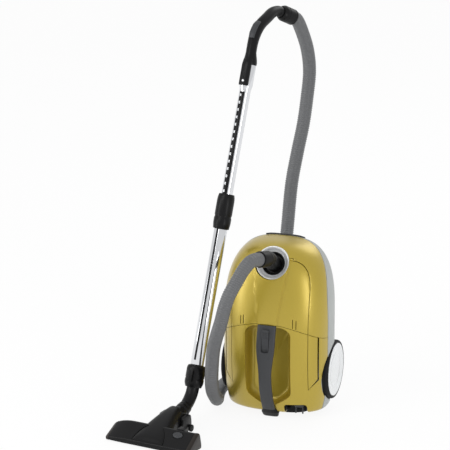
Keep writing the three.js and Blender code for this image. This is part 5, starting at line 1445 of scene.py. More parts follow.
@dataclass
class Hose:
    """Ribbed hose along its parked route, made by a node tree."""

    shop: Workshop
    radius: float = 18
    valley: float = 16.9
    rib_pitch: float = 6.0
    points_a_rib: int = 8
    sides: int = 28
    route_steps: int = 260

    def line(self) -> list[Vector]:
        """Centre line in millimetres, straight at both ends."""
        end = CUFF_START + CUFF_AIM * (CUFF_LENGTH - HOSE_INSERT)
        straight = (0, 14, 28, 42)
        points = [HOSE_START + HOSE_AIM * d for d in straight]
        points += [Vector(p) for p in HOSE_ROUTE]
        points += [end + CUFF_AIM * d for d in reversed(straight)]
        return catmull(points)

    def tree(self) -> NodeTree:
        """Node tree that sweeps a ribbed profile along a curve."""
        tree, come, real = curve_tree("ribbed_hose", {
            "Rib Pitch": self.rib_pitch, "Crest Radius": self.radius,
            "Valley Radius": self.valley})
        step = add_node(tree, "ShaderNodeMath", {1: self.points_a_rib}, operation="DIVIDE")
        resample = add_node(tree, "GeometryNodeResampleCurve", mode="LENGTH")
        travel = add_node(tree, "GeometryNodeSplineParameter")
        phase = add_node(tree, "ShaderNodeMath", operation="DIVIDE")
        turns = add_node(tree, "ShaderNodeMath", {1: 2 * math.pi}, operation="MULTIPLY")
        wave = add_node(tree, "ShaderNodeMath", operation="SINE")
        crest = add_node(tree, "ShaderNodeMapRange", {"From Min": -0.75, "From Max": 0.45},
                         interpolation_type="SMOOTHSTEP")
        circle = add_node(tree, "GeometryNodeCurvePrimitiveCircle",
                          {"Resolution": self.sides, "Radius": 1.0})
        sweep = add_node(tree, "GeometryNodeCurveToMesh", {"Fill Caps": True})
        wire(tree, (come.outputs["Rib Pitch"], step.inputs[0]),
             (come.outputs["Geometry"], resample.inputs["Curve"]),
             (step.outputs[0], resample.inputs["Length"]),
             (travel.outputs["Length"], phase.inputs[0]),
             (come.outputs["Rib Pitch"], phase.inputs[1]),
             (phase.outputs[0], turns.inputs[0]),
             (turns.outputs[0], wave.inputs[0]),
             (wave.outputs[0], crest.inputs["Value"]),
             (come.outputs["Valley Radius"], crest.inputs["To Min"]),
             (come.outputs["Crest Radius"], crest.inputs["To Max"]),
             (resample.outputs["Curve"], sweep.inputs["Curve"]),
             (circle.outputs["Curve"], sweep.inputs["Profile Curve"]),
             (crest.outputs["Result"], sweep.inputs["Scale"]),
             (sweep.outputs["Mesh"], real.inputs["Geometry"]))
        return tree

    def build(self) -> None:
        line = self.line()
        total = line_length(line)
        route = along(line, spaced(0, total, self.route_steps))
        hose = grown("hose_skin", [route], self.tree(), self.shop.paint.by_slot["hose_grey"])
        self.shop.place(hose, "hose", angle=80)


# ------------------------ telescopic tube and handle

COLLAR = Vector((-186, -141, 115))
TUBE = Vector((0.067, 0.352, 0.934)).normalized()
TUBE_SIDE = Vector((0.982, -0.187, 0)).normalized()
TUBE_FRONT = TUBE_SIDE.cross(TUBE).normalized()


def tube_at(distance: float) -> Vector:
    """Point on the tube's middle line, from the middle of its lower collar."""
    return COLLAR + TUBE * distance


def on_tube(profile: Sequence[Pair], sides: int = 64) -> Object:
    """Turned part on the tube's middle line."""
    return revolve(profile, sides, TUBE, COLLAR)


def tube_prism(points: Sequence[Pair], low: float, high: float) -> Object:
    """Prism along the tube of an outline drawn in (front, side)."""
    return prism(points, low, high,
                 lambda u, v, w: COLLAR + TUBE_FRONT * u + TUBE_SIDE * v + TUBE * w)


def tube_block(front: Pair, side: Pair, span: Pair) -> Object:
    """Block beside the tube."""
    (u0, u1), (v0, v1) = front, side
    return tube_prism([(u0, v0), (u1, v0), (u1, v1), (u0, v1)], *span)


@dataclass
class Telescope:
    """Chrome tubes with the detent rail, guide strip, lock sleeve and lower collar."""

    shop: Workshop
    outer_radius: float = 17.5
    inner_radius: float = 15
    wall: float = 1
    outer_end: float = 468
    inner_start: float = 396
    socket_start: float = 762
    socket_end: float = 829
    rail_half: float = 6.6
    rail_reach: float = 15.9
    rail_start: float = 488
    rail_pitch: float = 19.6
    rail_notches: int = 14
    notch_length: float = 7
    strip: Pair = (43, 391)  # start and end of the guide strip
    strip_half: Pair = (1.1, 2.8)  # its half thickness and half width
    sleeve: Pair = (392, 484)
    sleeve_radius: float = 23
    bush: Pair = (444, 471)
    collar_radius: float = 25
    collar_half: float = 29
    hook: Pair = (-14, 15)  # start and end of the parking web and flange

    def build(self) -> None:
        """Makes the tube's pieces."""
        r = self.outer_radius
        self.build_tubes()
        self.build_rail()
        strip = tube_prism(section(*self.strip_half, 24, 2.6), *self.strip)
        strip.data.transform(Matrix.Translation(TUBE_FRONT * (r + 0.1) * MM))
        self.shop.place(strip, "guide_strip")
        self.build_sleeve()
        self.build_collar()

    def build_tubes(self) -> None:
        """Outer tube, and the slotted inner tube with its flared socket."""
        r, ri, w = self.outer_radius, self.inner_radius, self.wall
        outer = on_tube([(r - w, 2), (r - 0.2, 2), (r, 2.3), (r, self.outer_end - 0.3),
                         (r - 0.2, self.outer_end), (r - w, self.outer_end), (r - w, 2)], 96)
        self.shop.place(outer, "outer_tube")
        bore, low, socket, top = ri - w, self.inner_start, self.socket_start, self.socket_end
        inner = on_tube([(bore, low), (ri, low), (ri, socket), (ri + 0.6, socket + 2),
                         (r - 0.5, socket + 8), (r, socket + 10.5), (r, top - 0.4),
                         (r - 0.3, top), (r - w, top), (r - w, socket + 11),
                         (bore, socket + 1), (bore, low)], 96)
        half = self.rail_half + 0.4
        slot = tube_block((12.4, 30), (-half, half), (low + 6, socket - 6))
        hole = bar(3.5, 0, 40, 32, TUBE_FRONT, tube_at(socket + 22))
        self.shop.place(combine(Op.CUT, inner, slot, hole), "inner_tube")

    def build_rail(self) -> None:
        """Black rail in the inner tube with a row of bright notches."""
        low, high = self.inner_start + 6.3, self.socket_start - 6
        side = math.degrees(math.asin(self.rail_half / self.rail_reach))
        rail = tube_prism([(12.8, -self.rail_half), *self.arc(self.rail_reach, -side, side),
                           (12.8, self.rail_half)], low, high)
        self.shop.place(rail, "detent_rail", bevel=0.2, angle=34)
        for i in range(self.rail_notches):
            at = self.rail_start + i * self.rail_pitch
            face = self.arc(self.rail_reach + 0.2, 1 - side, -2)
            back = self.arc(self.rail_reach - 0.3, 1 - side, -2)
            plate = tube_prism([*face, *reversed(back)], at, at + self.notch_length)
            self.shop.place(plate, name=f"rail_plate_{i + 1}", body="machine", slot="steel",
                            angle=32)

    def arc(self, radius: float, start: float, end: float) -> list[Pair]:
        """Points of an arc round the tube's axis, in (front, side).

        Args:
            radius: its radius.
            start: its first angle in degrees.
            end: its last angle in degrees.

        Returns:
            Thirteen points.
        """
        return [(radius * math.cos(math.radians(a)), radius * math.sin(math.radians(a)))
                for a in spaced(start, end, 12)]

    def build_sleeve(self) -> None:
        """Lock sleeve with its shallow waist, and the bush in the tube's end."""
        (a, b), r = self.sleeve, self.sleeve_radius
        mouth, seat, bore = 19.5, 17.8, 16.6
        profile = [(mouth, a), (20.6, a), (21.2, a + 1), (22.6, a + 12), (r, a + 15),
                   (r, a + 28), (r - 1.2, a + 31), (r - 1.2, a + 34), (r, a + 37),
                   (r, b - 18), (r - 0.6, b - 9), (r - 2, b - 3), (r - 3, b), (bore, b),
                   (bore, b - 10), (seat, b - 10), (seat, a + 6), (mouth, a + 5), (mouth, a)]
        self.shop.place(on_tube(profile, 96), "lock_sleeve", angle=34)
        inner, outer = self.inner_radius + FIT, self.outer_radius - self.wall - FIT
        low, high = self.bush
        bush = on_tube([(inner, low), (outer, low), (outer, high), (inner, high),
                        (inner, low)], 64)
        combine(Op.CUT, bush, tube_block((10, 30), (-7.4, 7.4), (420, 490)))
        self.shop.place(bush, "sleeve_bush")

    def build_collar(self) -> None:
        """Lower collar with its parking web and flange."""
        r, half = self.collar_radius, self.collar_half
        seat, bore = 17.8, 16.85
        body = on_tube([(bore, -half), (r - 4.6, -half), (r - 3.6, -half + 1), (r - 0.8, -20),
                        (r, -17), (r, -8), (r - 0.9, -6.5), (r - 0.9, -4.5), (r, -3),
                        (r, half - 9), (r - 1, half - 4), (r - 3, half - 0.6), (r - 4, half),
                        (seat, half), (seat, 1.7), (bore, 1.7), (bore, -half)], 96)
        combine(Op.JOIN, body, tube_block((r - 2, r + 8), (-3, 3), self.hook),
                tube_block((r + 5, r + 8), (-8, 8), self.hook))
        self.shop.place(body, "end_collar", bevel=0.5, angle=34)


@dataclass
class BentHandle:
    """Handle grip with its tongue, button, slider and the hose's cuff."""

    shop: Workshop
    radius: float = 14
    bore: float = 11.5
    start: float = 806
    spigot: float = 23
    fuller: float = 0.9  # how much fuller it is where a hand holds it
    lock_at: float = 784
    slider_span: Pair = (0.36, 0.56)
    slider_rise: float = 6.5
    cuff_radius: float = 21.5

    def line(self) -> list[Vector]:
        """Middle line of the handle."""
        bend = [(-130, 164, 922), (-129, 189, 956), (-123, 217, 979), (-114, 250, 992),
                (-107.5, 281, 1000)]
        return catmull([tube_at(d) for d in (self.start, 821, 841)]
                       + [Vector(p) for p in bend]
                       + [CUFF_START + CUFF_AIM * d for d in (-10, 0, 10)])

    def grip_radius(self, t: float) -> float:
        """Outer radius at 0 to 1 of the handle's length, fuller where a hand holds it."""
        hold = smoothstep(t, 0.28, 0.42) * (1 - smoothstep(t, 0.74, 0.88))
        return self.radius + self.fuller * hold

    def build(self) -> None:
        """Makes the handle's pieces."""
        line = self.line()
        total = line_length(line)
        s = self.spigot
        outside = [(0, 16), (s - 0.4, 16), (s, 18.4), (s + 6, 18.6), (s + 14, 17.2),
                   (s + 24, 15.2)]
        outside += [(d, self.grip_radius(d / total)) for d in spaced(s + 32, total, 60)]
        stations = [(distance, radius, self.bore) for distance, radius in outside]
        grip = hollow_sweep(line, stations, 64, TUBE_FRONT)
        tongue = on_tube([(18.25, 772), (21.2, 772), (22.2, 776), (22.2, 826), (21.2, 832),
                          (18.6, 842), (14, 846), (14, 829.3), (18.25, 829.3), (18.25, 772)],
                         96)
        combine(Op.COMMON, tongue, tube_prism(rounded_rectangle(31, 0, 58, 26, 4), 762, 849))
        combine(Op.JOIN, grip, tongue)
        at = tube_at(self.lock_at)
        combine(Op.CUT, grip, bar(3.6, 0, 40, 32, TUBE_FRONT, at))
        self.shop.place(grip, "handle_grip", bevel=0.5, angle=38)
        button = revolve([(0, 13.5), (3.2, 13.5), (3.2, 22.9), (2.9, 23.5), (2.2, 23.8),
                          (0, 23.9)], 48, TUBE_FRONT, at)
        self.shop.place(button, "grip_lock_button")
        self.build_slider(line, total)
        self.build_cuff()

    def build_slider(self, line: list[Vector], total: float) -> None:
        """Saddle over the handle that opens the bleed slot.

        Args:
            line: the handle's middle line.
            total: its length.
        """
        steps = 40
        places = along(line, spaced(0, total, steps * 2))
        first, last = (int(share * steps) * 2 for share in self.slider_span)
        frames = frames_along(places, TUBE_FRONT)[first:last]
        rings = []
        for i, frame in enumerate(frames):
            end = min(i, len(frames) - 1 - i)
            rise = self.slider_rise * min(1.0, 0.45 + end / 7)
            rib = 0.5 if 4 < i < len(frames) - 5 and i % 3 == 0 else 0.0
            top = 14.3 + rise - rib
            outline = rounded_outline([(12.6, -8), (top - 2, -8, 1.5), (top, -5, 1.5),
                                       (top, 5, 1.5), (top - 2, 8, 1.5), (12.6, 8)], 4)
            rings.append(ring_at(frame, outline))
        saddle = loft(rings)
        core = hollow_sweep(line, [(d, 15.2, 2.0) for d in spaced(20, total - 20, 60)], 48,
                            TUBE_FRONT)
        self.shop.place(combine(Op.CUT, saddle, core), "suction_slider", bevel=0.4, angle=34)

    def build_cuff(self) -> None:
        """Cuff that turns on the handle's end and holds the hose."""
        r, n, seat, bore = self.cuff_radius, CUFF_LENGTH, 18.6, 14.9
        ledge = n - HOSE_INSERT - 1
        profile = [(bore, 0), (16.4, 0), (17, 0.6), (20.4, 6.5), (r, 10), (r, 15),
                   (r - 0.8, 16), (r - 0.8, 17.4), (r, 18.4), (r, n - 8), (r - 0.7, n - 7),
                   (r - 0.7, n - 6), (r, n - 5), (r, n - 3), (r - 0.6, n - 0.8), (r - 1.5, n),
                   (seat, n), (seat, ledge), (bore, ledge), (bore, 0)]
        self.shop.place(revolve(profile, 96, CUFF_AIM, CUFF_START), "hose_cuff", angle=34)


# ------------------------ floor nozzle


@dataclass
class FloorNozzle:
    """Wide floor nozzle with its neck, in a frame turned with the tube."""

    shop: Workshop
    yaw: float = -10.8
    reach: float = 257
    width: float = 250
    cap_width: float = 11
    sole: float = 3
    wing_depth: float = 70
    taper_length: float = 62
    split: float = 17
    hump_rear: float = 152
    hump_top: float = 67
    hump_front_half: float = 45
    hump_narrowing: float = 20
    hump_wall: float = 2.5
    pivot: Vector = spot(0, 150, 33)
    neck_rise: float = 14.6
    neck_tilts: Sequence[float] = (-14, 18, 50)  # lowest, middle and highest rise
    neck_room: float = 20.8
    neck_radius: float = 16.5
    neck_bore: float = 13
    wheel: Vector = spot(0, 163, 9.5)
    carriage_half: float = 37
    barrel_half: float = 26
    barrel_room: float = 21
    pedal: Vector = spot(72, 38, 38)
    pedal_slope: float = math.atan2(18, 29)
    brush_depth: float = 6
    tuft: Sequence[float] = (1.9, 1.1, 5.0)  # spacing, radius and height
    tuft_lean: float = 0.16

    def __post_init__(self) -> None:
        """Works out where the nozzle's frame stands."""
        turn = Matrix.Rotation(math.radians(self.yaw), 4, "Z")
        at = Vector((COLLAR.x, COLLAR.y, 0)) - turn @ Vector((0, self.reach, 0))
        self.frame = Matrix.Translation(at) @ turn
        self.wing_end = self.width / 2 - self.cap_width
        deep = self.wing_depth
        self.wing = [(1, self.sole, 2), (0, 15, 5), (23, 29, 8), (52, 47, 5),
                     (deep - 8, 44, 5), (deep, 12, 5), (deep - 1, self.sole, 2)]

    def out(self, obj: Object) -> Object:
        """Moves a mesh from the nozzle's frame to its place."""
        place = self.frame.copy()
        place.translation = self.frame.translation * MM
        obj.data.transform(place)
        return obj

    def aim(self, degrees: float) -> Vector:
        """Direction along the neck, in the nozzle's frame."""
        angle = math.radians(degrees)
        return Vector((0, math.cos(angle), math.sin(angle)))

    def hump(self, inset: float, bottom: float) -> Object:
        """Arched hump over the middle.

        Args:
            inset: distance inside its outer face.
            bottom: height of its lower face.

        Returns:
            The solid.
        """
        marks = [(4, 0, 0.06), (12, 0.02, 0.2), (34, 0.08, 0.42), (80, 0.4, 0.74),
                 (124, 0.8, 0.95), (self.hump_rear, 1, 1)]
        line = catmull([Vector((y, n, r)) for y, n, r in marks], 8)
        rings = []
        for k, mark in enumerate(line):
            half = self.hump_front_half - self.hump_narrowing * mark.y - inset
            top = self.split + 3 + (self.hump_top - self.split - 3) * mark.z - inset
            back = mark.x
            if k == 0:
                back += max(0.0, inset)
            elif k == len(line) - 1:
                back -= inset
            arch = [p for p in section(half, top - bottom, 64, 3) if p[1] > -SMALL]
            rings.append([Vector((x, back, bottom + max(0.0, v))) for x, v in arch])
        return loft(rings)

    def neck_space(self) -> Object:
        """Space that the neck sweeps as the nozzle tilts."""
        reach, half = self.neck_room, self.barrel_half
        low, middle, high = self.neck_tilts

        def at(degrees: float, length: float, side: float) -> Pair:
            """Point beside the neck's line, in (y, z), with the neck raised."""
            angle = math.radians(degrees)
            return (self.pivot.y + length * math.cos(angle) - side * math.sin(angle),
                    self.pivot.z + length * math.sin(angle) + side * math.cos(angle))

        fan = [at(low, 0, -reach), at(low, 90, -reach), at(middle, 110, 0),
               at(high, 90, reach), at(high, 0, reach)]
        space = prism_x(fan, -reach, reach)
        barrel = bar(self.barrel_room, -half, half, 64, X_AXIS, self.pivot)
        return combine(Op.JOIN, space, barrel)

    def pedal_form(self, grow: float, low: float, high: float) -> Object:
        """Oval foot pedal lying on the wing's slope, or the room round it.

        Args:
            grow: how far it reaches past the real pedal.
            low: its lower face, under its centre.
            high: its upper face, over its centre.

        Returns:
            The solid.
        """
        slope = self.pedal_slope
        up = Vector((0, -math.sin(slope), math.cos(slope)))
        deep = Vector((0, math.cos(slope), math.sin(slope)))
        levels = [(low, 1.0), (high - 1.4, 1.0), (high - 0.5, 0.95), (high, 0.86)]
        rings = []
        for level, scale in levels:
            rings.append([self.pedal + X_AXIS * (u * scale) + deep * (v * scale) + up * level
                          for u, v in section(14 + grow, 9 + grow, 64)])
        return loft(rings)

    def brush_form(self, grow: float, low: float, high: float) -> Object:
        """Rectangular frame of the brush strips.

        Args:
            grow: how far it reaches past the real frame.
            low: height of its lower face.
            high: height of its upper face.

        Returns:
            The solid.
        """
        front, rear = 8 - grow, self.wing_depth - 8 + grow
        half, deep = self.wing_end - 6 + grow, self.brush_depth + 2 * grow
        return combine(Op.CUT, box((-half, front, low), (half, rear, high)),
                       box((-half + deep, front + deep, low - 1),
                           (half - deep, rear - deep, high + 1)))

    def build(self) -> None:
        """Makes the nozzle's pieces."""
        self.build_base()
        hump = combine(Op.CUT, self.hump(0, self.split),
                       self.hump(self.hump_wall, self.split - 1), self.neck_space())
        self.shop.place(self.out(hump), "nozzle_hump", bevel=0.8, angle=38)
        r, bore, start, end = self.wheel.z, 3.3, 37.3, 44
        for side, name in SIDES:
            self.build_cap(side, name)
            wheel = revolve([(bore, start), (8.8, start), (r, 38), (r, 43.3), (8.8, end),
                             (bore, end), (bore, start)], 64, X_AXIS * side, self.wheel)
            self.shop.place(self.out(wheel), f"nozzle_wheel_{name}")
        self.build_pedal()
        self.build_neck()
        self.build_brush()

    def build_pedal(self) -> None:
        """Foot pedal with its three grooves."""
        pedal = self.pedal_form(0, -4, 3)
        for i in range(3):
            at = Vector((self.pedal.x, 32.7 + 3.74 * i, 38.3 + 2.32 * i))
            combine(Op.CUT, pedal, bar(0.8, -9, 9, 16, X_AXIS, at))
        self.shop.place(self.out(pedal), "nozzle_pedal", angle=38)

    def wing_ring(self, x: float) -> Ring:
        """Section of the wings, which taper to the nozzle's left end.

        Args:
            x: distance to the right of the nozzle's middle.

        Returns:
            The points of the section.
        """
        inward = clamp01((self.width / 2 + x) / self.taper_length)
        scale = 0.5 + 0.5 * math.sqrt(inward * (2 - inward))
        middle = self.wing_depth / 2
        return [Vector((x, middle + (u - middle) * (0.7 + 0.3 * scale),
                        self.sole + (v - self.sole) * scale))
                for u, v in rounded_outline(self.wing, 8)]

    def build_base(self) -> None:
        """Nozzle body: wings, carriage and cheeks."""
        end, outer, barrel = self.wing_end, self.carriage_half, self.barrel_half
        bed = self.split - FIT
        marks = spaced(-end + FIT, end - FIT, 60)
        base = loft([self.wing_ring(x) for x in marks])
        combine(Op.CUT, base, self.hump(-SEAM, bed))
        combine(Op.JOIN, base, box((60, 56, 7), (80, 79, 48)),
                box((-outer, 58, 4), (outer, 172, bed)))
        cheek = rounded_outline([(122, 13, 0), (132, 47, 8), (168, 47, 10), (172, 28, 8),
                                 (172, 6, 4)], 6)
        for side in (-1, 1):
            low, high = sorted((side * barrel, side * outer))
            combine(Op.JOIN, base, prism_x(cheek, low, high),
                    bar(3, outer - 2, 44, 32, X_AXIS * side, self.wheel))
        combine(Op.CUT, base, self.hump(-SEAM / 2, bed), self.neck_space(),
                bar(5.3, 2 - outer, outer - 2, 32, X_AXIS, self.pivot),
                self.pedal_form(RUN + 0.6, -8, 14), self.brush_form(RUN, -1, 14),
                box((-end + 24, 24, -1), (end - 24, 46, 12)),
                box((-30, 24, -1), (30, 46, self.split + 1)))
        for side in (-1, 1):
            for i in range(2):
                x = side * (52 + 26 * i) if side < 0 else side * (96 + 8 * i)
                groove = bar(0.6, -6, 6, 12, self.aim(38), Vector((x, 40, 41.2)))
                combine(Op.CUT, base, groove)
        self.shop.place(self.out(base), "nozzle_base", bevel=0.6, angle=34)

    def build_cap(self, side: int, name: str) -> None:
        """Glossy end cap of the nozzle.

        Args:
            side: 1 for the right one, -1 for the left one.
            name: left or right.
        """
        rings = []
        end, middle, height = self.width / 2, self.wing_depth / 2, 15
        marks = [(self.wing_end, 1.02), (self.wing_end + self.cap_width - 6, 1.03),
                 (end - 3, 1.01), (end - 1, 0.965), (end - 0.2, 0.91), (end, 0.84)]
        for x, scale in marks:
            rings.append([Vector((p.x, middle + (p.y - middle) * scale,
                                  max(self.sole, height + (p.z - height) * scale)))
                          for p in self.wing_ring(side * x)])
        cap = loft(rings)
        self.shop.place(self.out(cap), f"nozzle_cap_{name}", angle=34)

    def build_neck(self) -> None:
        """Tilting yoke and the bent neck tube."""
        aim = self.aim(self.neck_rise)
        yoke = revolve([(0, -25), (18.6, -25), (20, -23.6), (20, 23.6), (18.6, 25), (0, 25)],
                       96, X_AXIS, self.pivot)
        sleeve = revolve([(0, 0), (19.4, 0), (19.4, 30), (18.9, 31), (18.9, 33), (19.4, 34),
                          (19.4, 44.6), (18.6, 46), (0, 46)], 96, aim, self.pivot)
        combine(Op.JOIN, yoke, sleeve)
        combine(Op.CUT, yoke, bar(self.neck_bore, -22, 48, 48, aim, self.pivot),
                bar(16.9, 25.7, 48, 64, aim, self.pivot))
        for side in (-1, 1):
            combine(Op.JOIN, yoke, bar(5, 21, 34, 32, X_AXIS * side, self.pivot))
        self.shop.place(self.out(yoke), "neck_yoke", bevel=0.6, angle=36)
        marks = [self.pivot + aim * d for d in (26, 40, 54)]
        marks += [Vector((0, 222, 57)), Vector((0, 237, 71))]
        path = [self.frame @ p for p in marks] + [tube_at(d) for d in (-32, -17, -0.3)]
        line = catmull(path)
        total = line_length(line)
        stations = []
        for d in spaced(0, total, 60):
            ring = 1.6 * smoothstep(d, 22, 24) * (1 - smoothstep(d, 30, 33))
            stations.append((d, self.neck_radius + ring, self.neck_bore))
        neck = hollow_sweep(line, stations, 64, X_AXIS)
        self.shop.place(neck, "neck_tube", angle=38)

    def bristle_tree(self) -> NodeTree:
        """Node tree that stands tufts of bristles on a path."""
        spacing, radius, height = self.tuft
        tree, come, real = curve_tree("bristle_row", {
            "Spacing": spacing, "Tuft Radius": radius, "Tuft Height": height})
        points = add_node(tree, "GeometryNodeCurveToPoints", mode="LENGTH")
        tuft = add_node(tree, "GeometryNodeMeshCone", {"Vertices": 6})
        lean = add_node(tree, "FunctionNodeRandomValue", data_type="FLOAT_VECTOR")
        lean.inputs[0].default_value = (-self.tuft_lean, -self.tuft_lean, 0)
        lean.inputs[1].default_value = (self.tuft_lean, self.tuft_lean, 3.1)
        lean.inputs["Seed"].default_value = 7
        stand = add_node(tree, "GeometryNodeInstanceOnPoints")
        wire(tree, (come.outputs["Geometry"], points.inputs["Curve"]),
             (come.outputs["Spacing"], points.inputs["Length"]),
             (come.outputs["Tuft Radius"], tuft.inputs["Radius Top"]),
             (come.outputs["Tuft Radius"], tuft.inputs["Radius Bottom"]),
             (come.outputs["Tuft Height"], tuft.inputs["Depth"]),
             (points.outputs["Points"], stand.inputs["Points"]),
             (tuft.outputs["Mesh"], stand.inputs["Instance"]),
             (lean.outputs[0], stand.inputs["Rotation"]),
             (stand.outputs["Instances"], real.inputs["Geometry"]))
        return tree

    def build_brush(self) -> None:
        """Brush frame with its rows of tufts, made by the node tree."""
        frame = self.brush_form(0, 8.6, 13)
        half = self.wing_end - 9
        rows = [[Vector((x, y, 6.4)) for x in (-half, half)] for y in (11, 59)]
        tufts = grown("brush_tufts", rows, self.bristle_tree(),
                      self.shop.paint.by_slot["rubber"])
        self.shop.place(self.out(frame), "brush_frame")
        self.shop.place(self.out(tufts), name="brush_tufts", body="brush", slot="rubber",
                        angle=32)


# ------------------------ inside the machine


@dataclass
class Insides:
    """Dust bag and wound cord, seen through the openings."""

    shop: Workshop
    bag_layers: Sequence[Sequence[float]] = (  # height, half width, half depth, middle
        (184.2, 62, 40, 12), (200, 86, 55, 12), (250, 93, 61, 11), (320, 90, 54, 7),
        (366, 68, 38, 8), (379, 42, 26, 12))
    bag_squareness: float = 2.8
    fold_depth: float = 0.018
    sag_depth: float = 0.012
    reel: Vector = spot(74, 5, 90)
    reel_half: float = 16.7
    reel_core: float = 24.3
    cord_turns: int = 5
    cord_pitch: float = 6.68
    cord_level: float = 52.4
    cord_rise: float = 3.4

    def build(self) -> None:
        """Makes the inner pieces."""
        self.build_bag()
        self.build_cord()

    def build_bag(self) -> None:
        """Pleated fleece bag."""
        line = catmull([Vector((z, u, v)) for z, u, v, _ in self.bag_layers], 10)
        middles = catmull([Vector((z, y, 0)) for z, _, _, y in self.bag_layers], 10)
        rings = []
        for mark, middle in zip(line, middles):
            ring = []
            outline = section(mark.y, mark.z, 160, self.bag_squareness)
            for i, (x, d) in enumerate(outline):
                wave = math.sin(mark.x * 0.21 + i * 0.12)
                fold = 1 - self.fold_depth * (0.5 + 0.5 * math.cos(i * math.pi / 4))
                sag = 1 - self.sag_depth * (0.5 + 0.5 * wave)
                ring.append(Vector((x * fold * sag, middle.y + d * fold * sag, mark.x)))
            rings.append(ring)
        bag = loft(rings)
        self.shop.place(bag, "dust_bag", angle=60)

    def build_cord(self) -> None:
        """Turns of cord on the reel."""
        core, half, pitch, steps = self.reel_core, self.reel_half, self.cord_pitch, 8
        profile = [(core, -half)]
        for i in range(self.cord_turns):
            at = -half + pitch * i
            profile += [(self.cord_level + self.cord_rise * math.sin(math.pi * k / steps),
                         at + pitch * k / steps) for k in range(steps + 1)]
        profile += [(core, half), (core, -half)]
        wound = revolve(profile, 96, X_AXIS, self.reel)
        self.shop.place(wound, "wound_cord")


# ------------------------ studio


def shown_rays(tree: NodeTree) -> NodeSocket:
    """Tells the rays that show the background from those that light the pieces.

    Args:
        tree: the shader tree that gets the nodes.

    Returns:
        Output that is one for camera, mirrored and passed-on rays, else nought.
    """
    path = add_node(tree, "ShaderNodeLightPath")
    seen = path.outputs["Is Camera Ray"]
    for name in ("Is Glossy Ray", "Is Transmission Ray"):
        higher = add_node(tree, "ShaderNodeMath", operation="MAXIMUM")
        wire(tree, (seen, higher.inputs[0]), (path.outputs[name], higher.inputs[1]))
        seen = higher.outputs[0]
    return seen


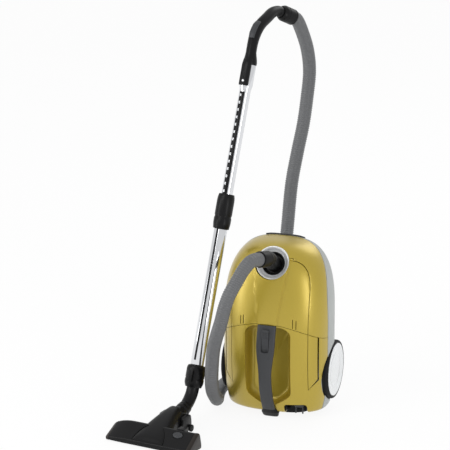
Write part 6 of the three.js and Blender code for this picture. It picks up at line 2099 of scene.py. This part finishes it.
@dataclass
class Studio:
    """Camera, lamps, world and floor."""

    azimuth: float = 18.0
    elevation: float = 18.0
    scale: float = 2.65  # millimetres a pixel
    picture: float = 450  # pixels
    sensor: float = 36
    distance: float = 9000.0
    aim_right: float = -142
    aim_up: float = 481.6
    target: Vector = spot(-0.1, 0, 0.4)
    world_strength: float = 0.75
    floor_half: float = 12.0
    floor_share: float = 0.9

    def build(self) -> None:
        """Sets up the whole studio."""
        az, el = math.radians(self.azimuth), math.radians(self.elevation)
        right = Vector((math.cos(az), math.sin(az), 0))
        back = Vector((math.sin(az) * math.cos(el), -math.cos(az) * math.cos(el),
                       math.sin(el)))
        up = back.cross(right)
        middle = right * self.aim_right + up * self.aim_up
        data = bpy.data.cameras.new("camera")
        data.lens = self.sensor * self.distance / (self.picture * self.scale)
        data.clip_end = 100
        camera = put("camera", data)
        turn = Matrix((right, up, back)).transposed().to_4x4()
        camera.matrix_world = Matrix.Translation((middle + back * self.distance) * MM) @ turn
        scene = bpy.context.scene
        scene.camera = camera
        scene.view_settings.view_transform = "Standard"
        self.build_world()
        self.build_floor()
        self.lamp("key", (-1.5, -2.2, 2.5), 20, 1.2, 1.6)
        self.lamp("left_strip", (-2.3, -1.5, 0.8), 14, 0.6, 1.8)
        self.lamp("right_strip", (2.3, -2.0, 0.8), 16, 0.6, 1.8)
        self.lamp("rim", (0.8, 2.4, 2.4), 14, 1.6, 1.6)

    def lamp(self, name: str, where: Sequence[float], power: float, width: float,
             height: float) -> None:
        """Soft area lamp that faces the cleaner.

        Args:
            name: name of the lamp.
            where: its place in metres.
            power: its power in watts.
            width: its level edge in metres.
            height: its upright edge in metres.
        """
        data = bpy.data.lights.new(name, "AREA")
        data.energy = power
        data.shape = "RECTANGLE"
        data.size, data.size_y = width, height
        lamp = put(name, data)
        lamp.location = where
        aim = self.target - Vector(where)
        lamp.rotation_euler = aim.to_track_quat("-Z", "Y").to_euler()

    def build_world(self) -> None:
        """White for the camera and reflections, plain grey light for the rest."""
        world = bpy.data.worlds.new("studio")
        bpy.context.scene.world = world
        world.use_nodes = True
        tree = world.node_tree
        light = tree.nodes["Background"]
        light.inputs["Color"].default_value = (1, 1, 1, 1)
        light.inputs["Strength"].default_value = self.world_strength
        white = add_node(tree, "ShaderNodeBackground", {"Strength": 1.0})
        mix = add_node(tree, "ShaderNodeMixShader")
        wire(tree, (shown_rays(tree), mix.inputs[0]),
             (light.outputs[0], mix.inputs[1]),
             (white.outputs[0], mix.inputs[2]),
             (mix.outputs[0], tree.nodes["World Output"].inputs["Surface"]))

    def build_floor(self) -> None:
        """White floor that keeps a soft contact shadow."""
        mesh = bpy.data.meshes.new("floor")
        s = self.floor_half
        mesh.from_pydata([(-s, -s, 0), (s, -s, 0), (s, s, 0), (-s, s, 0)], [], [(0, 1, 2, 3)])
        floor = put("floor", mesh)
        made = bpy.data.materials.new("floor")
        made.use_nodes = True
        tree = made.node_tree
        shader = tree.nodes["Principled BSDF"]
        shader.inputs["Base Color"].default_value = (0.96, 0.96, 0.96, 1)
        shader.inputs["Roughness"].default_value = 0.9
        glow = add_node(tree, "ShaderNodeEmission", {"Strength": 1.0})
        share = add_node(tree, "ShaderNodeMath", {1: self.floor_share}, operation="MULTIPLY")
        mix = add_node(tree, "ShaderNodeMixShader")
        wire(tree, (shown_rays(tree), share.inputs[0]),
             (share.outputs[0], mix.inputs[0]),
             (shader.outputs[0], mix.inputs[1]),
             (glow.outputs[0], mix.inputs[2]),
             (mix.outputs[0], tree.nodes["Material Output"].inputs["Surface"]))
        mesh.materials.append(made)


def main() -> None:
    """Builds the studio and every sub-assembly, and logs how many pieces and faces they have."""
    logging.basicConfig(level=logging.INFO, format="%(name)s %(message)s")
    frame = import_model()
    Studio().build()
    paint = Paintbox(frame)
    body_of = {node: body for body, nodes in frame["record"]["behaviour"]["bodies"].items()
               for node in nodes}
    shop = Workshop(paint, body_of)
    Hose(shop).build()
    shell = MachineShell(shop)
    shell.build()
    CarryHandle(shop).build()
    Inlet(shop, shell).build()
    Wheels(shop).build()
    Telescope(shop).build()
    BentHandle(shop).build()
    FloorNozzle(shop).build()
    Insides(shop).build()
    LOG.info("%d pieces, %d faces", len(shop.counts), sum(shop.counts.values()))


if __name__ == "__main__":
    main()
